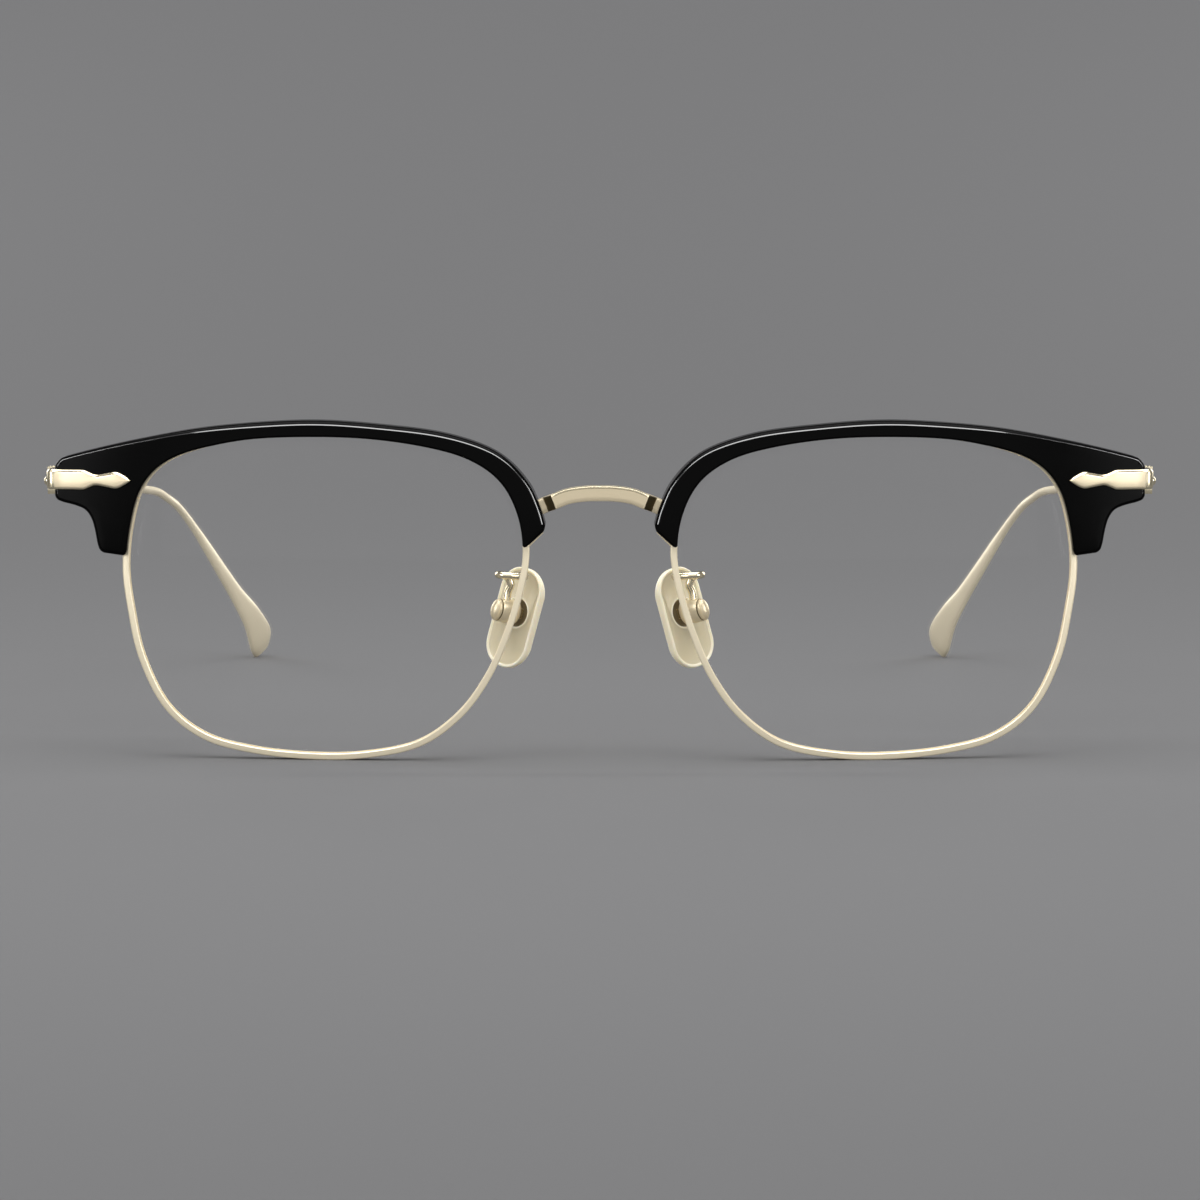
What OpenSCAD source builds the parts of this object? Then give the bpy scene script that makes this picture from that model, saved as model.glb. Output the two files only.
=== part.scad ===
// Browline glasses: acetate brows on thin metal rims, screw hinges, paddle-tip temples and silicone nose pads.
// Millimetres. +Z is up, the wearer looks along -Y, and the floor is at Z = 0.
// Left and right are the wearer's, so the left half lies at +X. Each piece is drawn at +X and mirrored.
// The origin lies on the floor, under the middle of the open glasses.

/* [Front] */
// Width of the lens opening inside the rim wire
opening_w = 51.5; // [47:0.5:56]
// Height of the lens opening inside the rim wire
opening_h = 41.2; // [38:0.2:46]
// Distance between the two lens openings over the nose
nose_width = 20; // [18:0.5:24]
// Radius of the sphere that each half of the front follows
curve_r = 165; // [150:5:260]
// Distance from the middle of the lens towards the nose where that sphere faces straight ahead
curve_shift = 14.75; // [10:0.25:18]

/* [Rim and lens] */
// Thickness of the rim wire across the lens opening
rim_t = 0.87; // [0.8:0.01:1.2]
// Depth of the rim wire from front to back
rim_d = 2; // [1.8:0.1:2.6]
// Depth of the groove inside the rim wire
groove_d = 0.45; // [0.3:0.05:0.5]
// Width of the groove inside the rim wire
groove_w = 0.7; // [0.5:0.05:0.9]
// Thickness of the lens
lens_t = 1.4; // [1.2:0.1:1.6]
// Clearance between parts that are fitted and stay put
fit_gap = 0.03; // [0.02:0.01:0.05]
// Height of the slit in the rim above the middle of the lens
slit_z = 12.45; // [11.5:0.05:12.8]
// Width of that slit
slit_w = 0.12; // [0.08:0.02:0.2]

/* [Brow] */
// How far the brow stands in front of the rim wire
brow_lip = 1.2; // [1:0.1:1.6]
// Depth of the brow from front to back
brow_d = 4; // [3.6:0.1:5]
// Height of the brow over the middle of the opening
brow_h = 2.1; // [1.8:0.1:3]
// Reach of the brow beyond the opening at the temple
brow_reach = 9.8; // [9.4:0.1:11]
// Width of the rim wire that shows beside the brow at the temple
rim_reveal = 0.25; // [0.1:0.05:0.4]

/* [Bridge] */
// Height of the bridge strip
bridge_h = 2; // [1.6:0.1:2.4]
// Thickness of the bridge strip
bridge_t = 1.3; // [1:0.1:1.6]
// Height of the top of the arch above the middle of the lens
bridge_z = 14.4; // [13.6:0.1:15]
// How far the middle of the arch stands in front of its ends
bridge_step = 1.5; // [1:0.1:2]

/* [Plaque] */
// Height of the plaque
plaque_h = 2.6; // [2.2:0.1:3]
// Length of the plaque's pointed face in front of the brow
plaque_len = 10.2; // [9.4:0.1:10.6]
// Height of the plaque above the middle of the lens
plaque_z = 14.8; // [14.4:0.1:15.2]
// How far the plaque stands proud of the brow
plaque_proud = 0.3; // [0.2:0.05:0.5]
// Depth of its seat in the brow
plaque_seat = 0.4; // [0.3:0.05:0.6]
// Thickness of the part that wraps round the end of the brow
wrap_t = 1.15; // [0.9:0.05:1.3]
// How far the rivet sits below the middle of the plaque
rivet_drop = 0.35; // [0:0.05:0.5]
// Radius of the rivet's shank
rivet_r = 0.45; // [0.35:0.05:0.5]
// Radius of the rivet's domed head
rivet_head_r = 0.65; // [0.6:0.05:0.8]

/* [Hinge] */
// Height of the hinge above the middle of the lens
hinge_z = 14.35; // [14.1:0.05:14.6]
// Outside diameter of the hinge barrel
barrel_d = 2.3; // [2.2:0.05:2.5]
// Height of the hinge barrel
barrel_h = 3.6; // [3.4:0.1:4.2]
// Height of the barrel's middle knuckle, which belongs to the temple
knuckle_h = 1.3; // [1.1:0.05:1.5]
// Gap above and below the middle knuckle
knuckle_gap = 0.05; // [0.03:0.01:0.1]
// Radius of the hinge screw
screw_r = 0.6; // [0.5:0.02:0.62]
// Running clearance round the hinge screw and the pad screw
run_gap = 0.04; // [0.02:0.01:0.06]
// Thickness of the endpiece behind the brow
bar_t = 1.45; // [1.2:0.05:1.6]
// Height of the endpiece behind the brow
bar_h = 3; // [2.6:0.1:3.2]
// Thickness of the leaf on the temple
leaf_t = 0.9; // [0.7:0.05:1]
// Length of the leaf on the temple
leaf_len = 7; // [6:0.5:10]

/* [Temple] */
// Distance from the hinge back to the bend
temple_len = 92; // [80:1:110]
// How far the temple has come inwards at the bend
temple_in = 3.4; // [1:0.2:5]
// Height of the temple behind the hinge
temple_h = 3.2; // [2.8:0.1:3.4]
// Thickness of the temple behind the hinge
temple_t = 1.1; // [1:0.05:1.3]
// Thickness of the temple wire, across its taller side
wire_h = 1.35; // [1.2:0.05:1.6]
// Width of the paddle at the temple's tip
paddle_w = 5; // [4:0.2:6]
// Thickness of the paddle
paddle_t = 1; // [0.8:0.05:1.2]
// Angle by which the paddle's inner face turns towards the front
paddle_turn = 32; // [20:1:45]

/* [Nose pads] */
// Width of a nose pad
pad_w = 7.1; // [6.6:0.1:7.8]
// Height of a nose pad
pad_h = 13.4; // [12:0.1:14.5]
// Thickness of a nose pad
pad_t = 1.8; // [1.6:0.1:2.4]
// Distance of the pad's fastening from the middle of the nose
pad_x = 11.05; // [10.7:0.05:11.6]
// Distance of the pad's fastening behind the front of the rims
pad_y = 8.1; // [7.6:0.1:9]
// Depth of the pad's fastening below the middle of the lens
pad_drop = 2.75; // [2:0.05:3.5]
// Angle by which the pad's front face turns outwards
pad_turn = 41; // [37:1:45]
// Angle by which the pads lean together at the top
pad_lean = 15; // [11:1:19]
// Diameter of the pad arm's wire
arm_d = 1; // [0.8:0.05:1.1]
// Radius of the pad box
box_r = 1.6; // [1.5:0.05:1.7]
// Radius of the pad screw
pad_screw_r = 0.42; // [0.35:0.01:0.45]

/* [Screws] */
// Radius of the closing screws and the brow screws
small_screw_r = 0.5; // [0.4:0.02:0.55]
// Radius of their heads
small_head_r = 0.9; // [0.8:0.05:0.95]

/* [Hidden] */

LEFT = 1;
RIGHT = -1;
GOLD = [0.84, 0.77, 0.62];
ACETATE = [0.04, 0.04, 0.05];
CLEAR = [0.86, 0.9, 0.92, 0.35];
SILICONE = [0.86, 0.83, 0.72];

// The outlines below are drawn round an opening of this size and are fitted to the real one
drawn_w = 51.5;
drawn_h = 41.2;

// Inner edge of the rim wire, from the temple side over the top: outwards and up from its middle
OPENING_SHAPE = [
    [25.7, 3.5], [25.2, 8.8], [23.8, 13.6], [21, 16.8], [16.6, 18.8], [10, 20.2], [2, 20.6],
    [-6, 20.35], [-13.6, 19.25], [-19, 17.6], [-22.9, 14.75], [-25.1, 10.5], [-25.75, 5.6],
    [-24.9, 0.5], [-23.2, -4.9], [-20.8, -10.3], [-17.2, -15.2], [-12, -18.9], [-5, -20.4],
    [2, -20.6], [9.5, -19.9], [15.8, -18.2], [20.6, -14.4], [23.7, -8.2], [25.1, -1.8]
];
// Upper edge of the brow from the temple to the nose: outwards from the opening's middle,
// and up from the edge of a brow of no height over the opening
BROW_TOP = [
    [35, 15.25], [33.6, 15.85], [26, 17.7], [16.5, 19.5], [7.5, 20.4], [0, 20.62], [-8, 20.05],
    [-15, 19.15], [-20.5, 17.55], [-24, 15.5], [-26.7, 12.45], [-28.1, 9.4], [-28.72, 7.3]
];
// Cut end of the brow beside the nose, then a way across the opening, which is cut out later
BROW_NOSE = [[-28.77, 6.9], [-28.55, 6.4], [-26.3, 4.4], [-25.9, 4.3], [-25.4, 4.5], [-15, 9], [17, 9]];
// Lower end of the brow beside the temple side of the lens
BROW_FOOT = [[25.9, 2.95], [26.2, 2.9], [29.1, 3.25], [29.55, 3.6]];
// Hollow under the end of the brow
BROW_HOLLOW = [[29.85, 4.6], [30.2, 6.4], [30.65, 7.75], [31.4, 8.75], [32.6, 9.3], [34.3, 9.7]];
// Pointed face of the plaque: distance from its tip, and half its height as a share of the whole
PLAQUE_SHAPE = [[0, 0.01], [0.75, 0.46], [1.9, 0.83], [3.2, 0.7], [4.6, 0.54], [5.5, 0.76], [6.2, 0.97], [7, 1]];
// Temple from the bend to the tip: inwards, back and down from the start of the bend
BEND_PATH = [
    [0, 0, 0], [0.8, 5, 0.65], [1.7, 8.2, 1.65], [2.9, 10.8, 2.95], [4, 13.1, 4.65], [5.3, 15.5, 6.95],
    [6.9, 18.4, 10.05], [8.95, 22, 14.15], [11.05, 25.8, 18.35], [13.05, 29.3, 22.2], [14.2, 32.6, 26],
    [14.1, 34.6, 28.2]
];
// Width and thickness at each of those points, between the wire's, 0, and the paddle's, 1
BEND_SPREAD = [0, 0, 0, 0, 0.01, 0.04, 0.14, 0.25, 0.38, 0.68, 1, 0.53];
// Pad arm from the rim to the pad box: outwards, back and up from the pad's fastening
ARM_PATH = [
    [0.2, -4.1, 5.15], [1.6, -3.8, 5.2], [2.2, -3, 5.2], [1.7, -2.25, 5.1], [0.95, -1.95, 4.7],
    [0.6, -1.95, 3.8]
];

lens_x = (nose_width + opening_w) / 2;
drawn_opening = closed_curve(OPENING_SHAPE, 4);
lens_z = rim_t - opening_h / drawn_h * min([for (p = drawn_opening) p.y]);
curve_x = lens_x - curve_shift;
grow_w = opening_w - drawn_w;
grow_h = opening_h - drawn_h;

// Inner edge of the rim wire in the front view
opening = [for (p = drawn_opening)
    [lens_x + p.x * opening_w / drawn_w, lens_z + p.y * opening_h / drawn_h]];

brow_back = brow_d - brow_lip;
bar_front = brow_back + fit_gap;
bar_back = bar_front + bar_t;
end_x = lens_x + opening_w / 2 + brow_reach;
end_z = lens_z + hinge_z;
face_z = lens_z + plaque_z;
rivet_z = face_z - rivet_drop;
gap_x = end_x + 2 * fit_gap;

barrel_r = barrel_d / 2;
axis_x = end_x + 0.6;
axis_y = shell_y(end_x, end_z, bar_back) + barrel_r;
knuckle_end = (barrel_h - knuckle_h) / 2 - knuckle_gap;
base_x = end_x - 2.8;
slot_y = axis_y - barrel_r;

lock_out = 2.9;
lock_h = 2.1;
lock_z = lens_z + slit_z;
lock_x = edge_x(slit_z) + rim_t + 1.75;
lock_y = shell_y(lock_x, lock_z, (0.3 + brow_back) / 2);
groove_y = (rim_d - groove_w) / 2;
lens_front = rim_d - lens_t - 0.1;

temple_y = axis_y + barrel_r + 0.25;
pad_place = [pad_x, pad_y, lens_z - pad_drop];
pivot_y = 1.7;

function unit(v) = v / norm(v);
function blend(a, b, t) = a + (b - a) * t;

// Depth at which the shell at distance o behind the rims' front passes the point x, z
function shell_y(x, z, o) = curve_r - sqrt(pow(curve_r - o, 2) - pow(x - curve_x, 2) - pow(z - lens_z, 2));

// Point at t from b to c on the smooth curve through a, b, c and d
function curve_point(a, b, c, d, t) =
    b + 0.5 * t * (c - a + t * (2 * a - 5 * b + 4 * c - d + t * (3 * (b - c) + d - a)));
function closed_curve(p, n) = let (m = len(p))
    [for (i = [0:m - 1]) for (k = [0:n - 1])
        curve_point(p[(i + m - 1) % m], p[i], p[(i + 1) % m], p[(i + 2) % m], k / n)];
function open_curve(p, n) = let (m = len(p))
    concat([for (i = [0:m - 2]) for (k = [0:n - 1])
        curve_point(p[max(i - 1, 0)], p[i], p[i + 1], p[min(i + 2, m - 1)], k / n)], [p[m - 1]]);

// Direction square to a closed outline at point i, outwards
function outward(p, i) = let (m = len(p), t = p[(i + 1) % m] - p[(i + m - 1) % m]) unit([t.y, -t.x]);
function grown(p, d) = [for (i = [0:len(p) - 1]) p[i] + outward(p, i) * d];

// How far the opening reaches from its middle, on the temple side, at a height above its middle
function edge_x(z) = lens_x + max([for (p = opening) abs(p.y - lens_z - z) < 1.2 ? p.x - lens_x : 0]);

// Edge of the brow round the lens: it draws back from the rim's inner edge at the temple only
function reveal_at(x) = rim_reveal * min(max((x - lens_x - 0.27 * opening_w) / (0.15 * opening_w), 0), 1);
brow_cut = [for (i = [0:len(opening) - 1]) opening[i] + outward(opening, i) * reveal_at(opening[i].x)];

// A brow point drawn for the drawn opening, fitted to the real one
function fit_x(u) = lens_x + (u > 25 ? u - 35.55 + brow_reach + opening_w / 2
    : u < -20 ? u - grow_w / 2 : u * opening_w / drawn_w);
function brow_point(p, up) = [fit_x(p.x), lens_z + p.y + grow_h / 2 + up];
brow_outline = concat(
    [for (p = open_curve(BROW_TOP, 4)) brow_point(p, brow_h)],
    [for (p = BROW_NOSE) brow_point(p, 2.1)],
    [for (p = BROW_FOOT) brow_point(p, 2.1)],
    [for (p = open_curve(BROW_HOLLOW, 3)) brow_point(p, 2.1)],
    [for (p = [[35.1, 10.0], [35.45, 10.35], [35.55, 10.8]]) brow_point(p, 2.1)],
    [for (p = [[35.55, 14.3], [35.4, 14.85]]) brow_point(p, brow_h)]
);

plaque_edge = concat(open_curve(PLAQUE_SHAPE, 4), [[plaque_len, 1]]);
plaque_tip = end_x - plaque_len;
plaque_outline = concat(
    [for (p = plaque_edge) [plaque_tip + p.x, face_z - p.y * plaque_h / 2]],
    [for (i = [len(plaque_edge) - 1:-1:1])
        [plaque_tip + plaque_edge[i].x, face_z + plaque_edge[i].y * plaque_h / 2]]
);

// Solid that a front view outline sweeps from the front towards the back
module prism(outline) translate([0, 40, 0]) rotate([90, 0, 0]) linear_extrude(60) polygon(outline);
module box_prism(x0, x1, z0, z1) translate([x0, -20, z0]) cube([x1 - x0, 60, z1 - z0]);

// Spherical layer between two distances behind the rims' front
module shell(front, back) translate([curve_x, curve_r, lens_z]) difference() {
    sphere(r = curve_r - front, $fn = 300);
    sphere(r = curve_r - back, $fn = 300);
}

// Puts a piece drawn at +X on its side of the face, with the origin under the middle of the glasses
module half(side) translate([0, -middle_y, 0]) {
    if (side == RIGHT) mirror([1, 0, 0]) children();
    else children();
}

module rod_y(x, z, r, y0, y1) translate([x, y0, z]) rotate([-90, 0, 0]) cylinder(r = r, h = y1 - y0, $fn = 48);
module rod_x(y, z, r, x0, x1) translate([x0, y, z]) rotate([0, 90, 0]) cylinder(r = r, h = x1 - x0, $fn = 48);
module rod_z(x, y, r, z0, z1) translate([x, y, z0]) cylinder(r = r, h = z1 - z0, $fn = 48);

module rim(side) color(GOLD) half(side) difference() {
    intersection() {
        prism(grown(opening, rim_t));
        shell(0, rim_d);
    }
    prism(opening);
    intersection() {
        prism(grown(opening, groove_d));
        shell(groove_y, groove_y + groove_w);
    }
    box_prism(lens_x + opening_w / 4, end_x, lock_z - slit_w / 2, lock_z + slit_w / 2);
}

module lens(side) color(CLEAR) half(side) union() {
    intersection() {
        prism(grown(opening, -fit_gap));
        shell(lens_front, lens_front + lens_t);
    }
    intersection() {
        prism(grown(opening, groove_d - fit_gap));
        shell(groove_y + fit_gap, groove_y + groove_w - fit_gap);
    }
}

// Where the brow screws stand: behind the plaque, and in the brow's end beside the nose
temple_screw = [end_x - 5.6, end_z + 0.1];
nose_screw = [lens_x - opening_w / 2 + 1.05, lens_z + grow_h / 2 + 15.35];
screw_depth = 2.4;
lug_r = 1.05;
lug_w = 1.8;
lug_t = 0.9;
lug_back = bar_front + lug_t;

module brow(side) color(ACETATE) half(side) difference() {
    intersection() {
        prism(brow_outline);
        shell(-brow_lip, brow_back);
    }
    prism(brow_cut);
    intersection() {
        prism(grown(opening, rim_t + fit_gap));
        shell(-fit_gap, brow_d);
    }
    intersection() {
        prism(grown(plaque_outline, 2 * fit_gap));
        shell(-brow_lip - 1, plaque_seat - brow_lip + fit_gap);
    }
    intersection() {
        box_prism(lens_x, lock_x + lock_out / 2 + fit_gap, lock_z - lock_h - 1, end_z + bar_h / 2 + fit_gap);
        shell(0.3 - fit_gap, brow_d);
    }
    intersection() {
        bridge_strip(bridge_h / 2 + fit_gap);
        translate([0, bridge_end_y - 2 * fit_gap, 0]) cube([20, 20, 60]);
    }
    rod_x(rivet_y, rivet_z, rivet_r + fit_gap / 2, end_x - 2.2, end_x + 1);
    for (s = [temple_screw, nose_screw])
        rod_y(s.x, s.y, small_screw_r + fit_gap / 2, screw_y(s) - screw_depth - 0.1, screw_y(s) + 9);
}

// Depth at which the back of the brow passes a screw
function screw_y(s) = shell_y(s.x, s.y, brow_back);
// Depth at which a screw's flat head clears the slanting plate of thickness t that it holds
function seat_y(s, t) = shell_y(s.x, s.y, bar_front + t)
    + small_head_r * norm([s.x - curve_x, s.y - lens_z]) / curve_r + fit_gap;

// Front view of the bridge: a strip along an arch that falls away to the rims
arch_z = lens_z + bridge_z - bridge_h / 2;
ARCH = [[-1.5, 0.02], [0, 0], [1.5, -0.02], [3, -0.17], [4.4, -0.45], [5.6, -0.95], [7.5, -1.75], [9, -2.5], [10.8, -3.55]];
arch_curve = [for (p = open_curve([for (i = [1:len(ARCH) - 1]) ARCH[i]], 4)) [p.x, arch_z + p.y]];
function arch_side(i, d) = let (
    a = arch_curve[max(i - 1, 0)],
    b = arch_curve[min(i + 1, len(arch_curve) - 1)],
    t = unit(b - a)
) arch_curve[i] + [-t.y, t.x] * d;
module bridge_strip(d) prism(concat(
    [for (i = [0:len(arch_curve) - 1]) arch_side(i, d)],
    [for (i = [len(arch_curve) - 1:-1:0]) arch_side(i, -d)]
));
bridge_end_y = shell_y(nose_width / 2 - 1, arch_z - 2, 0) + fit_gap;
bridge_mid_y = bridge_end_y - bridge_step;
STEP_X = [6.2, 7.05];
// Plan of the bridge: the arch stands forward and steps back near each end
bridge_plan = [
    [0, bridge_mid_y], [STEP_X[0], bridge_mid_y], [STEP_X[1], bridge_end_y], [20, bridge_end_y],
    [20, bridge_end_y + bridge_t], [STEP_X[1] - 0.55, bridge_end_y + bridge_t],
    [STEP_X[0] - 0.55, bridge_mid_y + bridge_t], [0, bridge_mid_y + bridge_t]
];

module bridge_half() difference() {
    union() {
        intersection() {
            bridge_strip(bridge_h / 2);
            linear_extrude(60) polygon(bridge_plan);
        }
        intersection() {
            bridge_strip(bridge_h / 2 - 0.1);
            box_prism(8.3, 10.4, 0, 60);
            translate([0, bridge_end_y + bridge_t / 2, 0]) cube([20, 10, 60]);
            shell(0, lug_back);
        }
        intersection() {
            union() {
                rod_y(nose_screw.x, nose_screw.y, lug_r, -5, 20);
                translate([9.3, 0, arch_z - 2.7]) rotate([0, lug_tilt, 0]) translate([-lug_w / 2, -5, 0])
                    cube([lug_w, 25, norm(nose_screw - [9.3, arch_z - 2.7])]);
            }
            shell(bar_front, lug_back);
        }
    }
    prism(grown(opening, rim_t));
    rod_y(nose_screw.x, nose_screw.y, small_screw_r + fit_gap, -5, 20);
}
lug_tilt = atan2(nose_screw.x - 9.3, nose_screw.y - arch_z + 2.7);

module bridge() color(GOLD) {
    half(LEFT) bridge_half();
    half(RIGHT) bridge_half();
}

module brow_screws(side) color(GOLD) half(side) {
    for (s = [[temple_screw, bar_t], [nose_screw, lug_t]]) {
        seat = seat_y(s[0], s[1]);
        difference() {
            union() {
                rod_y(s[0].x, s[0].y, small_screw_r, screw_y(s[0]) - screw_depth, seat + 0.1);
                rod_y(s[0].x, s[0].y, small_head_r, seat, seat + 0.4);
            }
            translate([s[0].x - 2, seat + 0.25, s[0].y - 0.12]) cube([4, 1, 0.24]);
        }
    }
}

module endpiece(side) color(GOLD) half(side) difference() {
    union() {
        intersection() {
            box_prism(lens_x, base_x, end_z - bar_h / 2, end_z + bar_h / 2);
            shell(bar_front, bar_back);
        }
        intersection() {
            box_prism(lens_x, lock_x + lock_out / 2, lock_z + slit_w / 2, end_z + bar_h / 2);
            shell(0.3, bar_front + 0.2);
        }
    }
    prism(grown(opening, rim_t));
    rod_z(lock_x, lock_y, small_screw_r + fit_gap, lock_z - 1, lock_z + 2.2);
    rod_y(temple_screw.x, temple_screw.y, small_screw_r + fit_gap, 0, 30);
}

module rim_lock(side) color(GOLD) half(side) difference() {
    intersection() {
        box_prism(lens_x, lock_x + lock_out / 2, lock_z - lock_h, lock_z - slit_w / 2);
        shell(0.3, brow_back);
    }
    prism(grown(opening, rim_t));
    rod_z(lock_x, lock_y, small_screw_r + fit_gap, lock_z - 5, lock_z + 5);
}

module closing_screw(side) color(GOLD) half(side) difference() {
    union() {
        rod_z(lock_x, lock_y, small_screw_r, lock_z - lock_h - 0.1, lock_z + 2.1);
        rod_z(lock_x, lock_y, small_head_r, lock_z - lock_h - 0.65, lock_z - lock_h - fit_gap);
    }
    translate([lock_x - 2, lock_y - 0.12, lock_z - lock_h - 1]) cube([4, 0.24, 0.6]);
}

// The wrap starts on the plaque's front and turns a corner of its own thickness
wrap_y = shell_y(end_x, face_z, -brow_lip - plaque_proud) + wrap_t;
wrap_back = slot_y - 0.1;
rivet_y = (wrap_y + shell_y(end_x, face_z, brow_back)) / 2 + 0.2;

module plaque(side) color(GOLD) half(side) difference() {
    union() {
        intersection() {
            prism(plaque_outline);
            shell(-brow_lip - plaque_proud, plaque_seat - brow_lip);
        }
        translate([0, 0, face_z - plaque_h / 2]) linear_extrude(plaque_h) union() {
            intersection() {
                translate([gap_x, wrap_y]) circle(r = wrap_t - 2 * fit_gap, $fn = 64);
                translate([end_x - 0.4, wrap_y - 5]) square([5, 5]);
            }
            translate([gap_x, wrap_y - 0.01]) square([wrap_t - 2 * fit_gap, wrap_back - wrap_y + 0.01]);
        }
    }
    intersection() {
        translate([end_x - 0.5, -5, 0]) cube([0.5 + 2 * fit_gap, 30, 60]);
        shell(plaque_seat - brow_lip, 20);
    }
    rod_x(rivet_y, rivet_z, rivet_r + fit_gap / 2, end_x - 3, end_x + 5);
}

// Half section of the rivet: its shank, then a dome on the plaque
head_x = 2 + wrap_t + fit_gap / 2;
rivet_section = concat(
    [[0, 0], [rivet_r, 0], [rivet_r, head_x]],
    [for (a = [0:10:80]) [rivet_head_r * cos(a), head_x + 0.9 * rivet_head_r * sin(a)]],
    [[0, head_x + 0.9 * rivet_head_r]]
);
module plaque_rivet(side) color(GOLD) half(side)
    translate([end_x - 2, rivet_y, rivet_z]) rotate([0, 90, 0]) rotate_extrude($fn = 48) polygon(rivet_section);

module hinge_front(side) color(GOLD) half(side) difference() {
    union() {
        intersection() {
            box_prism(base_x + fit_gap / 2, end_x - 2 * fit_gap, end_z - barrel_h / 2, end_z + barrel_h / 2);
            shell(bar_front, bar_back);
        }
        for (z = [end_z - barrel_h / 2, end_z + barrel_h / 2 - knuckle_end]) {
            rod_z(axis_x, axis_y, barrel_r, z, z + knuckle_end);
            translate([axis_x - barrel_r + 0.1, slot_y, z])
                cube([2 * barrel_r - 0.2, barrel_r, knuckle_end]);
            translate([axis_x - barrel_r + 0.1, slot_y - 0.9, z])
                cube([end_x - 2 * fit_gap - axis_x + barrel_r - 0.1, barrel_r, knuckle_end]);
        }
    }
    rod_z(axis_x, axis_y, screw_r + 0.01, 0, 60);
    rod_z(axis_x, axis_y, small_head_r + 0.02, end_z + barrel_h / 2 - 0.5, 60);
}

module hinge_screw(side) color(GOLD) half(side) difference() {
    union() {
        rod_z(axis_x, axis_y, screw_r, end_z - barrel_h / 2 + 0.05, end_z + barrel_h / 2 - 0.3);
        rod_z(axis_x, axis_y, small_head_r, end_z + barrel_h / 2 - 0.5 + fit_gap / 2, end_z + barrel_h / 2 - 0.05);
    }
    translate([axis_x - 0.12, axis_y - 2, end_z + barrel_h / 2 - 0.25]) cube([0.24, 4, 1]);
}

module hinge_temple(side) color(GOLD) half(side) difference() {
    union() {
        rod_z(axis_x, axis_y, barrel_r, end_z - knuckle_h / 2, end_z + knuckle_h / 2);
        translate([axis_x - leaf_t, axis_y, end_z - knuckle_h / 2]) cube([leaf_t, leaf_len, knuckle_h]);
        translate([axis_x - leaf_t, temple_y, end_z - barrel_h / 2 + 0.5])
            cube([leaf_t, axis_y + leaf_len - temple_y, barrel_h - 1]);
    }
    rod_z(axis_x, axis_y, screw_r + run_gap, 0, 60);
}

// A ring of points on a flattened circle round a place on a path, square to the path's direction.
// It is h across the direction up the side and t through, turned by a about the path.
RING = 12;
function ring(at, dir, h, t, a, square) = let (
    d = unit(dir),
    up = unit([0, -d.z, d.y]),
    out = cross(d, up),
    hu = up * cos(a) + out * sin(a),
    tu = out * cos(a) - up * sin(a)
) [for (k = [0:RING - 1]) let (c = cos(360 * k / RING + 15), s = sin(360 * k / RING + 15))
    at + hu * h / 2 * sign(c) * pow(abs(c), square) + tu * t / 2 * sign(s) * pow(abs(s), square)];

// Closed solid through rings of equal length
module through_rings(rings) {
    n = len(rings[0]);
    m = len(rings);
    polyhedron(
        points = [for (r = rings) for (p = r) p],
        faces = concat(
            [[for (k = [0:n - 1]) k]],
            [for (i = [0:m - 2]) for (k = [0:n - 1]) [i * n + k, (i + 1) * n + k, (i + 1) * n + (k + 1) % n]],
            [for (i = [0:m - 2]) for (k = [0:n - 1]) [i * n + k, (i + 1) * n + (k + 1) % n, i * n + (k + 1) % n]],
            [[for (k = [n - 1:-1:0]) (m - 1) * n + k]]
        ),
        convexity = 6
    );
}

// Bend and paddle, counted from the start of the bend
bend = open_curve([for (i = [0:len(BEND_PATH) - 1])
    [-BEND_PATH[i].x, BEND_PATH[i].y, -BEND_PATH[i].z, BEND_SPREAD[i]]], 3);
function place3(p) = [p[0], p[1], p[2]];
bend_rings = [for (i = [1:len(bend) - 1]) let (
    dir = place3(bend[min(i + 1, len(bend) - 1)]) - place3(bend[i - 1]),
    s = max(bend[i][3], 0),
    turn = min(i / (len(bend) - 8), 1)
) ring(place3(bend[i]), dir, blend(wire_h, paddle_w * 1.08, s), blend(0.85 * wire_h, paddle_t, min(2 * s, 1)),
    -paddle_turn * turn, 1 - 0.25 * min(2 * s, 1))];
// The open glasses reach from the front of the brows to the tips
front_y = 0.5 - brow_lip;
tip_y = axis_y + temple_len + max([for (r = bend_rings) for (p = r) p.y]);
middle_y = (tip_y + front_y) / 2;
// The lowest point of the tip rests on the floor
bend_start = [axis_x + temple_t / 2 - temple_in, axis_y + temple_len,
    -min([for (r = bend_rings) for (p = r) p.z])];
temple_start = [axis_x + temple_t / 2, temple_y, end_z];
// Straight part: share of the way to the bend, and share of the tapering done
STRAIGHT = [[0, 0], [0.03, 0.03], [0.08, 0.15], [0.14, 0.4], [0.2, 0.65], [0.27, 0.85], [0.35, 0.96], [0.45, 1],
    [0.7, 1], [0.97, 1], [1, 1]];
temple_rings = concat(
    [for (s = STRAIGHT) ring(blend(temple_start, bend_start, s[0]), s[0] < 0.01 ? [0, 1, 0] : bend_start - temple_start,
        blend(temple_h, wire_h, s[1]), blend(temple_t, 0.85 * wire_h, s[1]), 0, blend(0.4, 1, s[1]))],
    [for (r = bend_rings) [for (p = r) p + bend_start]]
);

module temple(side) color(GOLD) half(side) difference() {
    through_rings(temple_rings);
    translate([axis_x - leaf_t, 0, end_z - barrel_h]) cube([leaf_t + fit_gap / 2, axis_y + leaf_len, 2 * barrel_h]);
}

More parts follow.
